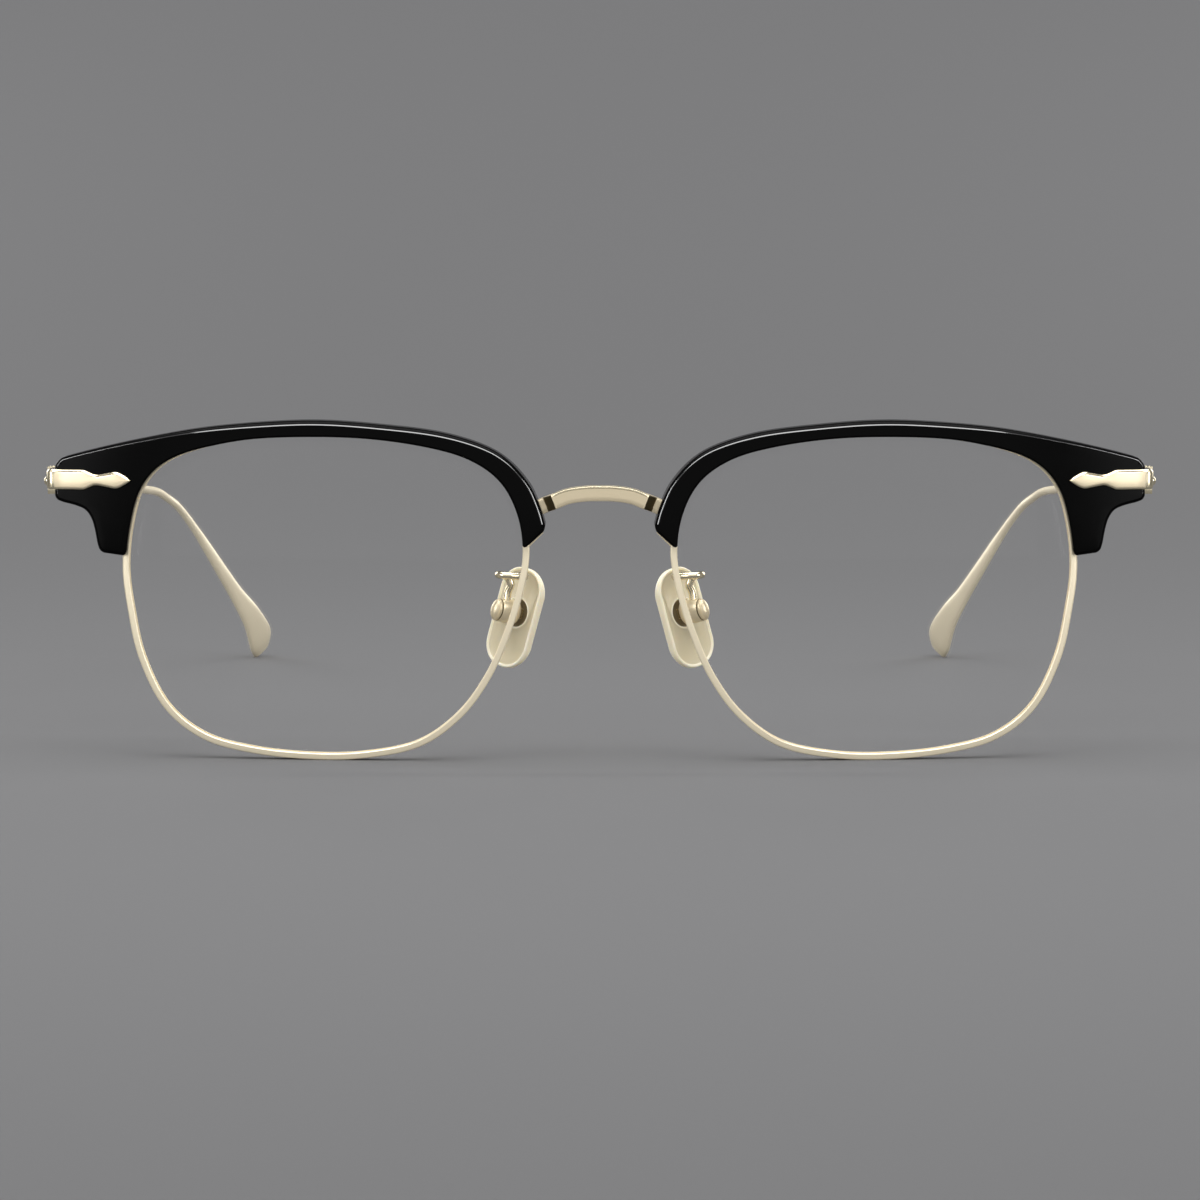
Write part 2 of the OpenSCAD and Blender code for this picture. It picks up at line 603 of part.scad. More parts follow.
// Nose pad frame: the pad's front face lies in the plane y = 0 and looks along -y
module pad_frame(side) half(side) translate(pad_place) rotate([0, -pad_lean, 0]) rotate([0, 0, pad_turn]) children();
function turned(v, a) = [v.x * cos(a) - v.y * sin(a), v.x * sin(a) + v.y * cos(a), v.z];
function leaned(v, a) = [v.x * cos(a) - v.z * sin(a), v.y, v.x * sin(a) + v.z * cos(a)];
function pad_point(v) = pad_place + leaned(turned(v, pad_turn), pad_lean);

box_front = 4;
box_mouth = 0.35;
box_flat = 1.3;
well_r = box_r + 0.35;
well_d = 0.6;
plate_r = 1.5;
plate_t = 0.4;
stem_w = 1.2;

module pad_box(side) color(GOLD) pad_frame(side) difference() {
    union() {
        intersection() {
            rod_y(0, 0, box_r, -box_front, -box_mouth);
            translate([-box_flat, -9, -4]) cube([2 * box_flat, 9, 8]);
        }
        intersection() {
            translate([0, -box_front + 1.75, 0]) sphere(r = 2.35, $fn = 64);
            rod_y(0, 0, box_r - 0.05, -box_front - 2, -box_front + 0.1);
        }
    }
    translate([-stem_w / 2 - 0.1, -pivot_y - 1.2, -1.15]) cube([stem_w + 0.2, 4, 2.3]);
    rod_x(-pivot_y, 0, pad_screw_r + 0.01, -5, 5);
}

module pad_screw(side) color(GOLD) pad_frame(side) difference() {
    union() {
        rod_x(-pivot_y, 0, pad_screw_r, -box_flat, box_flat + 0.1);
        rod_x(-pivot_y, 0, pad_screw_r + 0.28, box_flat + fit_gap / 2, box_flat + 0.35);
    }
    translate([box_flat + 0.22, -pivot_y - 0.1, -2]) cube([1, 0.2, 4]);
}

module pad_insert(side) color(GOLD) pad_frame(side) difference() {
    union() {
        rod_y(0, 0, plate_r, well_d, well_d + plate_t);
        translate([-stem_w / 2, -pivot_y, -0.6]) cube([stem_w, pivot_y + well_d + 0.1, 1.2]);
        rod_x(-pivot_y, 0, 0.9, -stem_w / 2, stem_w / 2);
    }
    rod_x(-pivot_y, 0, pad_screw_r + run_gap, -5, 5);
}

// Rounded outline of the pad's front face, a little below and outside its fastening
pad_middle = [0.3, -0.7];
pad_corner = 3.2;
pad_crown_r = 25;
pad_outline = [for (q = [[1, 1, 0], [-1, 1, 90], [-1, -1, 180], [1, -1, 270]]) for (a = [0:15:90])
    pad_middle + [q[0] * (pad_w / 2 - pad_corner), q[1] * (pad_h / 2 - pad_corner)]
    + pad_corner * [cos(q[2] + a), sin(q[2] + a)]];

module nose_pad(side) color(SILICONE) pad_frame(side) difference() {
    intersection() {
        translate([0, pad_t, 0]) rotate([90, 0, 0]) linear_extrude(pad_t) polygon(pad_outline);
        translate([pad_middle.x, pad_t - pad_crown_r, pad_middle.y]) sphere(r = pad_crown_r, $fn = 200);
    }
    rod_y(0, 0, well_r, -1, well_d);
    rod_y(0, 0, plate_r + fit_gap, well_d - 0.1, well_d + plate_t + fit_gap);
}

// The arm leaves the back of the rim, loops outwards and drops on the pad box
function edge_nose(z) = min([for (p = opening) abs(p.y - z) < 1.2 ? p.x : 1000]);
arm_foot = [edge_nose(lens_z - pad_drop + 5.15) - rim_t / 2, 0, lens_z - pad_drop + 5.15];
arm_start = [arm_foot.x, shell_y(arm_foot.x, arm_foot.z, rim_d) - 0.15, arm_foot.z];
arm_end = pad_point([0, -2.4, box_r - 0.25]);
arm_curve = open_curve(concat(
    [arm_start, arm_start + [0.1, 0.9, 0]],
    [for (p = ARM_PATH) pad_place + p],
    [arm_end + [-0.2, 0.05, 1.2], arm_end]
), 4);
arm_rings = [for (i = [0:len(arm_curve) - 1])
    ring(arm_curve[i], i == 0 ? [0, 1, 0] : arm_curve[min(i + 1, len(arm_curve) - 1)] - arm_curve[i - 1],
        arm_d, arm_d, 0, 1)];

module pad_arm(side) color(GOLD) half(side) through_rings(arm_rings);

bridge();
rim(LEFT);  // rim_left
rim(RIGHT);  // rim_right
lens(LEFT);  // lens_left
lens(RIGHT);  // lens_right
brow(LEFT);  // brow_left
brow(RIGHT);  // brow_right
brow_screws(LEFT);  // brow_screws_left
brow_screws(RIGHT);  // brow_screws_right
endpiece(LEFT);  // endpiece_left
endpiece(RIGHT);  // endpiece_right
rim_lock(LEFT);  // rim_lock_left
rim_lock(RIGHT);  // rim_lock_right
closing_screw(LEFT);  // closing_screw_left
closing_screw(RIGHT);  // closing_screw_right
plaque(LEFT);  // plaque_left
plaque(RIGHT);  // plaque_right
plaque_rivet(LEFT);  // plaque_rivet_left
plaque_rivet(RIGHT);  // plaque_rivet_right
hinge_front(LEFT);  // hinge_front_left
hinge_front(RIGHT);  // hinge_front_right
hinge_temple(LEFT);  // hinge_temple_left
hinge_temple(RIGHT);  // hinge_temple_right
hinge_screw(LEFT);  // hinge_screw_left
hinge_screw(RIGHT);  // hinge_screw_right
temple(LEFT);  // temple_left
temple(RIGHT);  // temple_right
pad_arm(LEFT);  // pad_arm_left
pad_arm(RIGHT);  // pad_arm_right
pad_box(LEFT);  // pad_box_left
pad_box(RIGHT);  // pad_box_right
pad_screw(LEFT);  // pad_screw_left
pad_screw(RIGHT);  // pad_screw_right
pad_insert(LEFT);  // pad_insert_left
pad_insert(RIGHT);  // pad_insert_right
nose_pad(LEFT);  // nose_pad_left
nose_pad(RIGHT);  // nose_pad_right
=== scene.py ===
# %% [markdown]
# # Browline glasses
# The real object is a pair of glasses with two glossy black acetate brows, thin gold rims and
# clear lenses, wire temples that end in paddles, and two milky nose pads. The frame that is
# loaded first holds every piece as a plain solid at its right size and place, in metres.
# This lesson dresses those solids: it draws finer pieces in the same places and finishes them.

from math import atan2, cos, degrees, pi, radians, sin, sqrt

import bmesh
import bpy
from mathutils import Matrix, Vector
from mathutils.geometry import delaunay_2d_cdt


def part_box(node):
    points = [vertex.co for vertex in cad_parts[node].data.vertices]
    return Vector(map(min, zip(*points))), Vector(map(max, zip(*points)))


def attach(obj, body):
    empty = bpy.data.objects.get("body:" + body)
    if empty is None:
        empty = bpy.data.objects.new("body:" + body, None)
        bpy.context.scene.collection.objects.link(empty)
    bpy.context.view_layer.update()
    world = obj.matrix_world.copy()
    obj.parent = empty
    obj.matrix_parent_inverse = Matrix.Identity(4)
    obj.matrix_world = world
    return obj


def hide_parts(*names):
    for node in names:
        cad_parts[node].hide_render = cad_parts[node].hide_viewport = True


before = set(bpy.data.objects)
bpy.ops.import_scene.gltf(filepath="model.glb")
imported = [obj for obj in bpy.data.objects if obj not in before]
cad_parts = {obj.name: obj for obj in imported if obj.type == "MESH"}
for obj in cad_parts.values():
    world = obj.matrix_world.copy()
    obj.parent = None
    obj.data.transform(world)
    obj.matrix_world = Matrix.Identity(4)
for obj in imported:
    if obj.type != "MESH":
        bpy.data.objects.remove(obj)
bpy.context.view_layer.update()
MM = 0.001
SIDES = {"left": 1, "right": -1}

# %% [markdown]
# ## Sizes that every step needs
# The front of the glasses isn't flat. Each half follows a sphere, as the lenses do, so that it
# wraps a little round the face. The numbers below are those of the solids, in millimetres. They
# count from the floor and from the front of the rims, and SHIFT moves them to the frame's own
# origin. It is read off the hinge screw, whose middle is the hinge's axis.

# %% Measure the frame
CURVE_R = 165.0
CURVE_X = 21.0
LENS_X = 35.75
LENS_Z = 21.514
RIM_T = 0.87
RIM_D = 2.0
END_X = 71.3
BROW_LIP = 1.2
BROW_BACK = 2.8
BAR_BACK = 4.28
BARREL_R = 1.15
HINGE_Z = LENS_Z + 14.35


def shell_y(x, z, back):
    """Depth at which the layer `back` mm behind the rims' front passes x, z."""
    return CURVE_R - sqrt((CURVE_R - back) ** 2 - (x - CURVE_X) ** 2 - (z - LENS_Z) ** 2)


low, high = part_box("hinge_screw_left")
HINGE = (low + high) / 2 / MM
AXIS_Y = shell_y(END_X, HINGE_Z, BAR_BACK) + BARREL_R
SHIFT = HINGE.y - AXIS_Y
print("hinge axis at", [round(v, 2) for v in HINGE], "and the front is shifted by", round(SHIFT, 3))

# %% [markdown]
# ## Camera
# The photograph was taken from straight ahead, from a little above the lenses, with a long lens.
# Its distance is an estimate: from there the temples run almost straight back, as real ones do.
# Its height and tilt follow from where the rims and the temple tips then stand on the floor.

# %% Place the camera
CAMERA_BACK = 560
CAMERA_UP = 68.61
CAMERA_DOWN = 4.85
scene = bpy.context.scene


def placed(name, data):
    """Puts a mesh, lamp or camera in the scene as an object."""
    thing = bpy.data.objects.new(name, data)
    scene.collection.objects.link(thing)
    return thing


camera = placed("camera", bpy.data.cameras.new("camera"))
camera.data.sensor_width = 36.0
camera.data.lens = 130.33
camera.data.clip_start = 0.01
camera.location = (0, (SHIFT - CAMERA_BACK) * MM, CAMERA_UP * MM)
camera.rotation_euler = (radians(90 - CAMERA_DOWN), 0, 0)
scene.camera = camera
print("camera at", [round(v, 4) for v in camera.location])

# %% [markdown]
# ## Materials
# Four stuffs make the whole object: champagne gold, black acetate, clear lens and milky silicone.
# Most come in a few finishes, because a struck, turned or polished face looks unlike a drawn one,
# and a few of these copies carry painted shade or a painted highlight. A helper gives each finish
# its colour, a roughness that drifts slowly between two values, and fine marks. All read Object
# coordinates, because every piece lies in the frame's own place.

# %% Helpers for materials
EVEN = (1, 1, 1)


def add_node(tree, kind, **settings):
    """Adds a node. Settings that name an input fill it, and the rest are the node's own."""
    node = tree.nodes.new(kind)
    for key, value in settings.items():
        socket = key.replace("_", " ")
        if socket in node.inputs:
            node.inputs[socket].default_value = value
        else:
            setattr(node, key, value)
    return node


def stretched_noise(tree, stretch, scale, detail):
    """Noise on Object coordinates that are stretched along the axes."""
    place = add_node(tree, "ShaderNodeTexCoord")
    mapping = add_node(tree, "ShaderNodeMapping", Scale=stretch)
    noise = add_node(tree, "ShaderNodeTexNoise", Scale=scale, Detail=detail)
    tree.links.new(place.outputs["Object"], mapping.inputs["Vector"])
    tree.links.new(mapping.outputs["Vector"], noise.inputs["Vector"])
    return noise.outputs["Fac"]


def finish(name, colour, drift=None, marks=None, **values):
    """A material. drift: noise scale, detail, low, high. marks: stretch, scale, detail, strength, depth."""
    mat = bpy.data.materials.new(name)
    mat.use_nodes = True
    tree = mat.node_tree
    shader = tree.nodes["Principled BSDF"]
    shader.inputs["Base Color"].default_value = (*colour, 1)
    for key, value in values.items():
        shader.inputs[key.replace("_", " ")].default_value = value
    if drift:
        scale, detail, low, high = drift
        spread = add_node(tree, "ShaderNodeMapRange", To_Min=low, To_Max=high)
        tree.links.new(stretched_noise(tree, EVEN, scale, detail), spread.inputs["Value"])
        tree.links.new(spread.outputs["Result"], shader.inputs["Roughness"])
    if marks:
        stretch, scale, detail, strength, depth = marks
        bump = add_node(tree, "ShaderNodeBump", Strength=strength, Distance=depth)
        tree.links.new(stretched_noise(tree, stretch, scale, detail), bump.inputs["Height"])
        tree.links.new(bump.outputs["Normal"], shader.inputs["Normal"])
    print("finish:", name)
    return mat


# %% [markdown]
# ### Champagne gold
# The rims, bridge, plaques and temples are a copper alloy plated in pale gold and brushed to a
# satin. The brush marks throw light every way, so half of the shader is a soft metal sheen and
# the other half is matt. Fine noise, drawn out along two of the axes, stands in for the marks,
# and slow noise moves the roughness a little.

# %% Gold
gold = finish("champagne_gold", (0.97, 0.86, 0.635), drift=(420, 3, 0.32, 0.40),
              marks=((1, 1, 5), 2600, 2, 0.05, 0.00004), Metallic=0.42, Roughness=0.36)

# %% [markdown]
# The bridge and the plaques were struck in a die before plating. Their faces are smoother and a
# little deeper in colour than drawn wire.

# %% Struck gold
struck = finish("struck_gold", (0.80, 0.685, 0.475), drift=(420, 3, 0.29, 0.37),
                marks=((5, 1, 1), 2600, 2, 0.04, 0.00004), Metallic=0.55, Roughness=0.36)

# %% [markdown]
# The hinges, endpieces, screws, rivets and pad arms have the same plating, but they are polished:
# small parts come from the polishing barrel with a sharper shine than the brushed faces.

# %% Polished gold
bright = finish("polished_gold", (0.90, 0.80, 0.57), drift=(900, 2, 0.16, 0.24),
                marks=(EVEN, 3000, 2, 0.03, 0.00003), Metallic=1.0, Roughness=0.2)

# %% [markdown]
# The slopes where the bridge steps back, a fine line under the bridge's top bevel and the groove of
# each pad box get a duller and darker gold. This dark tone is painted shade for faces in corners.

# %% Gold with painted shade
painted_shade_gold = finish("gold_painted_shade", (0.20, 0.155, 0.075), drift=(420, 3, 0.3, 0.42), Metallic=0.9, Roughness=0.35)

# %% [markdown]
# ### Black acetate
# Acetate is cut from a sheet and polished on felt, so it is glossy but never quite flat: the
# polish leaves waves a few millimetres long. A plain plastic shader in near black with a low
# roughness and a very faint, slow bump gives this.

# %% Acetate
acetate = finish("black_acetate", (0.0014, 0.0014, 0.0014), drift=(300, 4, 0.16, 0.24),
                 marks=(EVEN, 160, 1, 0.04, 0.0002), Roughness=0.2, IOR=1.38, Specular_IOR_Level=0.06)

# %% [markdown]
# A narrow band on the upper side of the rounded front edge gets the same black with a much
# stronger shine. It is a painted highlight: the band is placed where the lamps above the front are
# mirrored, so that it draws a thin bright line.

# %% Acetate for the painted highlight
highlight_black = finish("black_acetate_painted_highlight", (0.002, 0.002, 0.0022), marks=(EVEN, 160, 1, 0.02, 0.0002),
                Roughness=0.06, IOR=2.9)

# %% [markdown]
# ### Lens
# The lenses are clear, coated plastic. A coated lens lets almost all light straight through, so
# most of the surface is simply transparent. The rest is clear plastic under a glossy coat, which
# leaves a trace of gloss on the face. It hardly bends light, because these are plain lenses.

# %% Lens
clear = finish("clear_lens", (0.985, 0.992, 0.99), drift=(60, 1, 0.0, 0.012), Roughness=0.0, IOR=1.01,
               Transmission_Weight=1.0, Coat_Weight=1.0, Coat_Roughness=0.02, Coat_IOR=1.5, Alpha=0.08)

# %% [markdown]
# ### Silicone
# The pads are soft, milky silicone. Light goes in and scatters, so they glow a little at their
# thin edges. Subsurface scattering with a short radius gives that, under a soft gloss.

# %% Silicone
SKIN = (EVEN, 700, 2, 0.05, 0.00005)
SOFT = {"IOR": 1.41, "Subsurface_Radius": (1.0, 0.8, 0.5)}
milky = finish("milky_silicone", (0.91, 0.83, 0.645), drift=(500, 2, 0.26, 0.38), marks=SKIN,
               Subsurface_Weight=0.5, Subsurface_Scale=0.001, Roughness=0.26, **SOFT)

# %% [markdown]
# The dished face of a pad is thinner than its rim and lets more of the shade behind it through.
# It gets the same silicone in a deeper tone, so that the pale rim stands out round it. The floor
# of the well lies in the shade of the pad box, and its tone is darker still.

# %% Silicone of the dish and the well
dished = finish("milky_silicone_dish", (0.66, 0.585, 0.41), drift=(500, 2, 0.28, 0.4), marks=SKIN,
                Subsurface_Weight=0.35, Subsurface_Scale=0.0008, Roughness=0.34, **SOFT)
shaded = finish("silicone_in_shade", (0.22, 0.17, 0.09), marks=SKIN, Roughness=0.4, IOR=1.41)

# %% [markdown]
# ## Curves and meshes
# The outlines of the real front are smooth curves through a few points, and so are these: a
# smooth curve passes through every point of a short list, with a few steps between two points.

# %% Smooth curves
def curve_point(a, b, c, d, t):
    return b + 0.5 * t * (c - a + t * (2 * a - 5 * b + 4 * c - d + t * (3 * (b - c) + d - a)))


def smooth_open(points, steps):
    p = [Vector(q) for q in points]
    last = len(p) - 1
    out = [curve_point(p[max(i - 1, 0)], p[i], p[i + 1], p[min(i + 2, last)], k / steps)
           for i in range(last) for k in range(steps)]
    return out + [p[last]]


def smooth_closed(points, steps):
    p = [Vector(q) for q in points]
    n = len(p)
    return [curve_point(p[i - 1], p[i], p[(i + 1) % n], p[(i + 2) % n], k / steps)
            for i in range(n) for k in range(steps)]


def outward(points, i):
    """Direction square to a closed counter-clockwise outline, away from its middle."""
    along = points[(i + 1) % len(points)] - points[i - 1]
    return Vector((along.y, -along.x)).normalized()


def grown(points, distance):
    return [p + outward(points, i) * distance for i, p in enumerate(points)]


# %% [markdown]
# Every piece is drawn once, for the wearer's left, in millimetres. A helper moves it to its place,
# mirrors it for the right side and turns its faces with it, so that they still point outwards.

# %% Finish a mesh and put it on its side
def finished(piece, mat, angle=35):
    """Gives a mesh its material and smooth faces with sharp edges past an angle."""
    mesh = piece.data
    mesh.materials.clear()
    mesh.materials.append(mat)
    mesh.shade_smooth()
    mesh.set_sharp_from_angle(angle=radians(angle))
    mesh.update()
    return piece


def turned_out(piece):
    """Merges doubles and makes every face point outwards."""
    bm = bmesh.new()
    bm.from_mesh(piece.data)
    bmesh.ops.remove_doubles(bm, verts=bm.verts, dist=0.002 * MM)
    bmesh.ops.recalc_face_normals(bm, faces=bm.faces)
    bm.to_mesh(piece.data)
    bm.free()
    return piece


def add_piece(name, side, verts, faces, mat, angle=35):
    """Makes a piece from millimetre points drawn for the left side."""
    sign = SIDES[side]
    mesh = bpy.data.meshes.new(name)
    points = [(sign * x * MM, (y + SHIFT) * MM, z * MM) for x, y, z in verts]
    mesh.from_pydata(points, [], [f if sign == 1 else list(f)[::-1] for f in faces])
    return finished(turned_out(placed(name, mesh)), mat, angle)


# %% Hand a piece over
def dress(piece, body, slot, *nodes):
    """Hands a finished piece to the frame: its body and the solids it stands for. The slot is not used."""
    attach(piece, body)
    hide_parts(*nodes)
    print(piece.name, "has", len(piece.data.polygons), "faces")


# %% Solids from rings
def ring_faces(count, n):
    """Faces between neighbours in a row of rings of n points."""
    return [(i * n + k, (i + 1) * n + k, (i + 1) * n + (k + 1) % n, i * n + (k + 1) % n)
            for i in range(count - 1) for k in range(n)]


def loft(rings):
    """Points and faces of a closed solid through rings of equal length."""
    n = len(rings[0])
    verts = [p for ring in rings for p in ring]
    ends = [list(range(n)), list(range(len(verts) - 1, len(verts) - n - 1, -1))]
    return verts, ring_faces(len(rings), n) + ends


def apply_modifiers(piece):
    """Turns what the modifiers show into the piece's own plain mesh."""
    graph = bpy.context.evaluated_depsgraph_get()
    mesh = bpy.data.meshes.new_from_object(piece.evaluated_get(graph))
    piece.modifiers.clear()
    piece.data = mesh
    return piece


# %% [markdown]
# ## Outline of the lens opening
# The opening is a rounded square, flatter at the top, drawn as outwards and up from its middle.

# %% The opening
OPENING_SHAPE = [
    (25.7, 3.5), (25.2, 8.8), (23.8, 13.6), (21, 16.8), (16.6, 18.8), (10, 20.2), (2, 20.6),
    (-6, 20.35), (-13.6, 19.25), (-19, 17.6), (-22.9, 14.75), (-25.1, 10.5), (-25.75, 5.6),
    (-24.9, 0.5), (-23.2, -4.9), (-20.8, -10.3), (-17.2, -15.2), (-12, -18.9), (-5, -20.4),
    (2, -20.6), (9.5, -19.9), (15.8, -18.2), (20.6, -14.4), (23.7, -8.2), (25.1, -1.8),
]
MIDDLE = Vector((LENS_X, LENS_Z))
opening = [p + MIDDLE for p in smooth_closed(OPENING_SHAPE, 10)]
print("opening:", round(max(p.x for p in opening) - min(p.x for p in opening), 2), "mm wide")

# %% [markdown]
# ## Bending the front
# A flat part drawn on paper becomes a front by being bent over a ball. The same happens here: one
# node group moves each point (across, up, back) to the sphere's layer at that depth. Rims, lenses
# and brows all pass through it, so they keep fitting each other.

# %% Node group that bends a flat part
def new_tree(name, inputs):
    """Starts a Geometry Nodes tree with a geometry socket and named inputs."""
    tree = bpy.data.node_groups.new(name, "GeometryNodeTree")
    tree.interface.new_socket("Geometry", in_out="INPUT", socket_type="NodeSocketGeometry")
    for label, kind, value in inputs:
        socket = tree.interface.new_socket(label, in_out="INPUT", socket_type="NodeSocket" + kind)
        if value is not None:
            socket.default_value = value
    tree.interface.new_socket("Geometry", in_out="OUTPUT", socket_type="NodeSocketGeometry")
    return tree, tree.nodes.new("NodeGroupInput"), tree.nodes.new("NodeGroupOutput")


def maths(tree, operation, *values):
    """A Math node whose inputs are sockets or numbers. Gives its result."""
    node = add_node(tree, "ShaderNodeMath", operation=operation)
    for socket, value in zip(node.inputs, values):
        if isinstance(value, (int, float)):
            socket.default_value = value
        else:
            tree.links.new(value, socket)
    return node.outputs[0]


def fed(tree, source, kind, socket=0, **settings):
    """Adds a node, feeds one of its inputs and gives its first output."""
    node = add_node(tree, kind, **settings)
    tree.links.new(source, node.inputs[socket])
    return node.outputs[0]


def bending_tree():
    sizes = {"Radius": CURVE_R, "Middle X": CURVE_X, "Middle Z": LENS_Z, "Shift": SHIFT}
    tree, start, end = new_tree("bend_to_front", [(name, "Float", mm * MM) for name, mm in sizes.items()])
    radius, middle_x, middle_z, shift = [start.outputs[name] for name in sizes]
    spot = add_node(tree, "ShaderNodeSeparateXYZ")
    tree.links.new(add_node(tree, "GeometryNodeInputPosition").outputs[0], spot.inputs[0])
    across, up, back = spot.outputs
    reach = maths(tree, "SUBTRACT", radius, back)
    left = maths(tree, "SUBTRACT", across, middle_x)
    high = maths(tree, "SUBTRACT", up, middle_z)
    squares = [maths(tree, "MULTIPLY", v, v) for v in (reach, left, high)]
    rest = maths(tree, "SUBTRACT", maths(tree, "SUBTRACT", squares[0], squares[1]), squares[2])
    depth = maths(tree, "SUBTRACT", radius, maths(tree, "SQRT", rest))
    place = add_node(tree, "ShaderNodeCombineXYZ")
    deep = maths(tree, "ADD", depth, shift)
    for socket, value in zip(place.inputs, (across, deep, up)):
        tree.links.new(value, socket)
    move = add_node(tree, "GeometryNodeSetPosition")
    tree.links.new(start.outputs["Geometry"], move.inputs["Geometry"])
    tree.links.new(place.outputs[0], move.inputs["Position"])
    tree.links.new(move.outputs[0], end.inputs[0])
    return tree


bend_to_front = bending_tree()


# %% Run a tree on a piece
def grown_by(piece, tree, **values):
    """Runs a tree on a piece, its named inputs filled by identifier, and keeps the plain mesh."""
    modifier = piece.modifiers.new(tree.name, "NODES")
    modifier.node_group = tree
    for item in tree.interface.items_tree:
        if item.item_type == "SOCKET" and item.in_out == "INPUT" and item.name in values:
            modifier[item.identifier] = values[item.name]
    return apply_modifiers(piece)


def on_side(piece, side):
    """Mirrors a piece that was made for the left, when it is one for the right."""
    for vert in piece.data.vertices:
        vert.co.x *= SIDES[side]
    return turned_out(piece)


def bent(name, side, verts, faces, mat, angle=35):
    """A flat part, as points (across, up, back) in millimetres, bent to the front of one side."""
    mesh = bpy.data.meshes.new(name)
    mesh.from_pydata([(x * MM, z * MM, o * MM) for x, z, o in verts], [], faces)
    piece = grown_by(placed(name, mesh), bend_to_front)
    return finished(on_side(piece, side), mat, angle)


print("node groups:", [group.name for group in bpy.data.node_groups])

# %% [markdown]
# ## Rims
# A real rim is drawn wire with a groove inside for the lens, bent round a former and closed with
# a screw. That is a section carried along a path, which Geometry Nodes do directly: the tree
# sweeps the section along the opening and then bends the flat hoop to the front. The hoop stays
# open at the slit beside the hinge, where the closing screw pulls its two ends together.

# %% Node tree of a rim
SLIT_Z = LENS_Z + 12.45
SLIT_W = 0.12
GROOVE_D = 0.45
GROOVE_W = 0.7


def line_mesh(name, points, closed=False):
    """A mesh of edges through points, to be read by a tree."""
    mesh = bpy.data.meshes.new(name)
    edges = [(i, i + 1) for i in range(len(points) - 1)] + ([(len(points) - 1, 0)] if closed else [])
    mesh.from_pydata(points, edges, [])
    return mesh


def painted_sweep(tree, start, end, path, section, bend=None):
    """Carries a section along a path and ends the tree in plain geometry with its metal."""
    sweep = add_node(tree, "GeometryNodeCurveToMesh", Fill_Caps=True)
    tree.links.new(path, sweep.inputs["Curve"])
    tree.links.new(section, sweep.inputs["Profile Curve"])
    shape = sweep.outputs[0]
    if bend:
        shape = fed(tree, shape, "GeometryNodeGroup", "Geometry", node_tree=bend)
    paint = add_node(tree, "GeometryNodeSetMaterial")
    tree.links.new(fed(tree, shape, "GeometryNodeRealizeInstances"), paint.inputs["Geometry"])
    tree.links.new(start.outputs["Metal"], paint.inputs["Material"])
    tree.links.new(paint.outputs[0], end.inputs[0])


def rim_tree():
    """Sweeps the section object along this object's edges, then bends the hoop."""
    tree, start, end = new_tree("sweep_wire", [("Section", "Object", None), ("Metal", "Material", None)])
    path = fed(tree, start.outputs["Geometry"], "GeometryNodeMeshToCurve")
    upright = fed(tree, path, "GeometryNodeSetCurveNormal", "Curve", mode="Z_UP")
    info = add_node(tree, "GeometryNodeObjectInfo")
    tree.links.new(start.outputs["Section"], info.inputs[0])
    section = fed(tree, info.outputs["Geometry"], "GeometryNodeMeshToCurve")
    painted_sweep(tree, start, end, upright, section, bend_to_front)
    return tree


def rim_section():
    """Section of the wire, from its inner edge outwards and from front to back."""
    r = 0.2
    out = [(0.12, 0), (RIM_T - r, 0)]
    out += [(RIM_T - r + r * sin(a * pi / 8), r - r * cos(a * pi / 8)) for a in range(1, 5)]
    out += [(RIM_T - r + r * cos(a * pi / 8), RIM_D - r + r * sin(a * pi / 8)) for a in range(5)]
    low, high = (RIM_D - GROOVE_W) / 2, (RIM_D + GROOVE_W) / 2
    out += [(0.12, RIM_D), (0, RIM_D - 0.12), (0, high), (GROOVE_D, high), (GROOVE_D, low)]
    out += [(0, low), (0, 0.12)]
    return [p for i, p in enumerate(out) if i == 0 or p != out[i - 1]]


print("rim section:", len(rim_section()), "points")

# %% Sweep both rims
def slit_path():
    """The opening as an open line that starts just above the slit and ends just below it."""
    n = len(opening)
    above = next(i for i in range(n) if opening[i].y > SLIT_Z and opening[i].x > LENS_X)
    ring = opening[above:] + opening[:above]
    low, high = ring[-1], ring[0]
    cuts = (SLIT_Z + SLIT_W / 2, SLIT_Z - SLIT_W / 2)
    ends = [low.lerp(high, (z - low.y) / (high.y - low.y)) for z in cuts]
    return [ends[0]] + ring + [ends[1]]


sweep_wire = rim_tree()
outline_of_wire = line_mesh("rim_section", [(x * MM, -o * MM, 0) for x, o in rim_section()], closed=True)
section = bpy.data.objects.new("rim_section", outline_of_wire)
for side in SIDES:
    line = line_mesh("rim_wire_" + side, [(p.x * MM, p.y * MM, 0) for p in slit_path()])
    rim = grown_by(placed("rim_wire_" + side, line), sweep_wire, Section=section, Metal=gold)
    finished(on_side(rim, side), gold, 40)
    dress(rim, "front", "gold_metal", "rim_" + side)
box = [[round(pick(v.co[k] for v in rim.data.vertices) / MM, 2) for k in range(3)] for pick in (min, max)]

# %% [markdown]
# ## Lenses
# A lens is a thin shell between two spheres, ground to the rim's shape with a bevel that sits in
# the groove. It is drawn flat as rings that shrink towards the middle, front and back, and bent.

# %% Lenses
LENS_FRONT = 0.5
LENS_T = 1.4
LENS_RINGS = 14


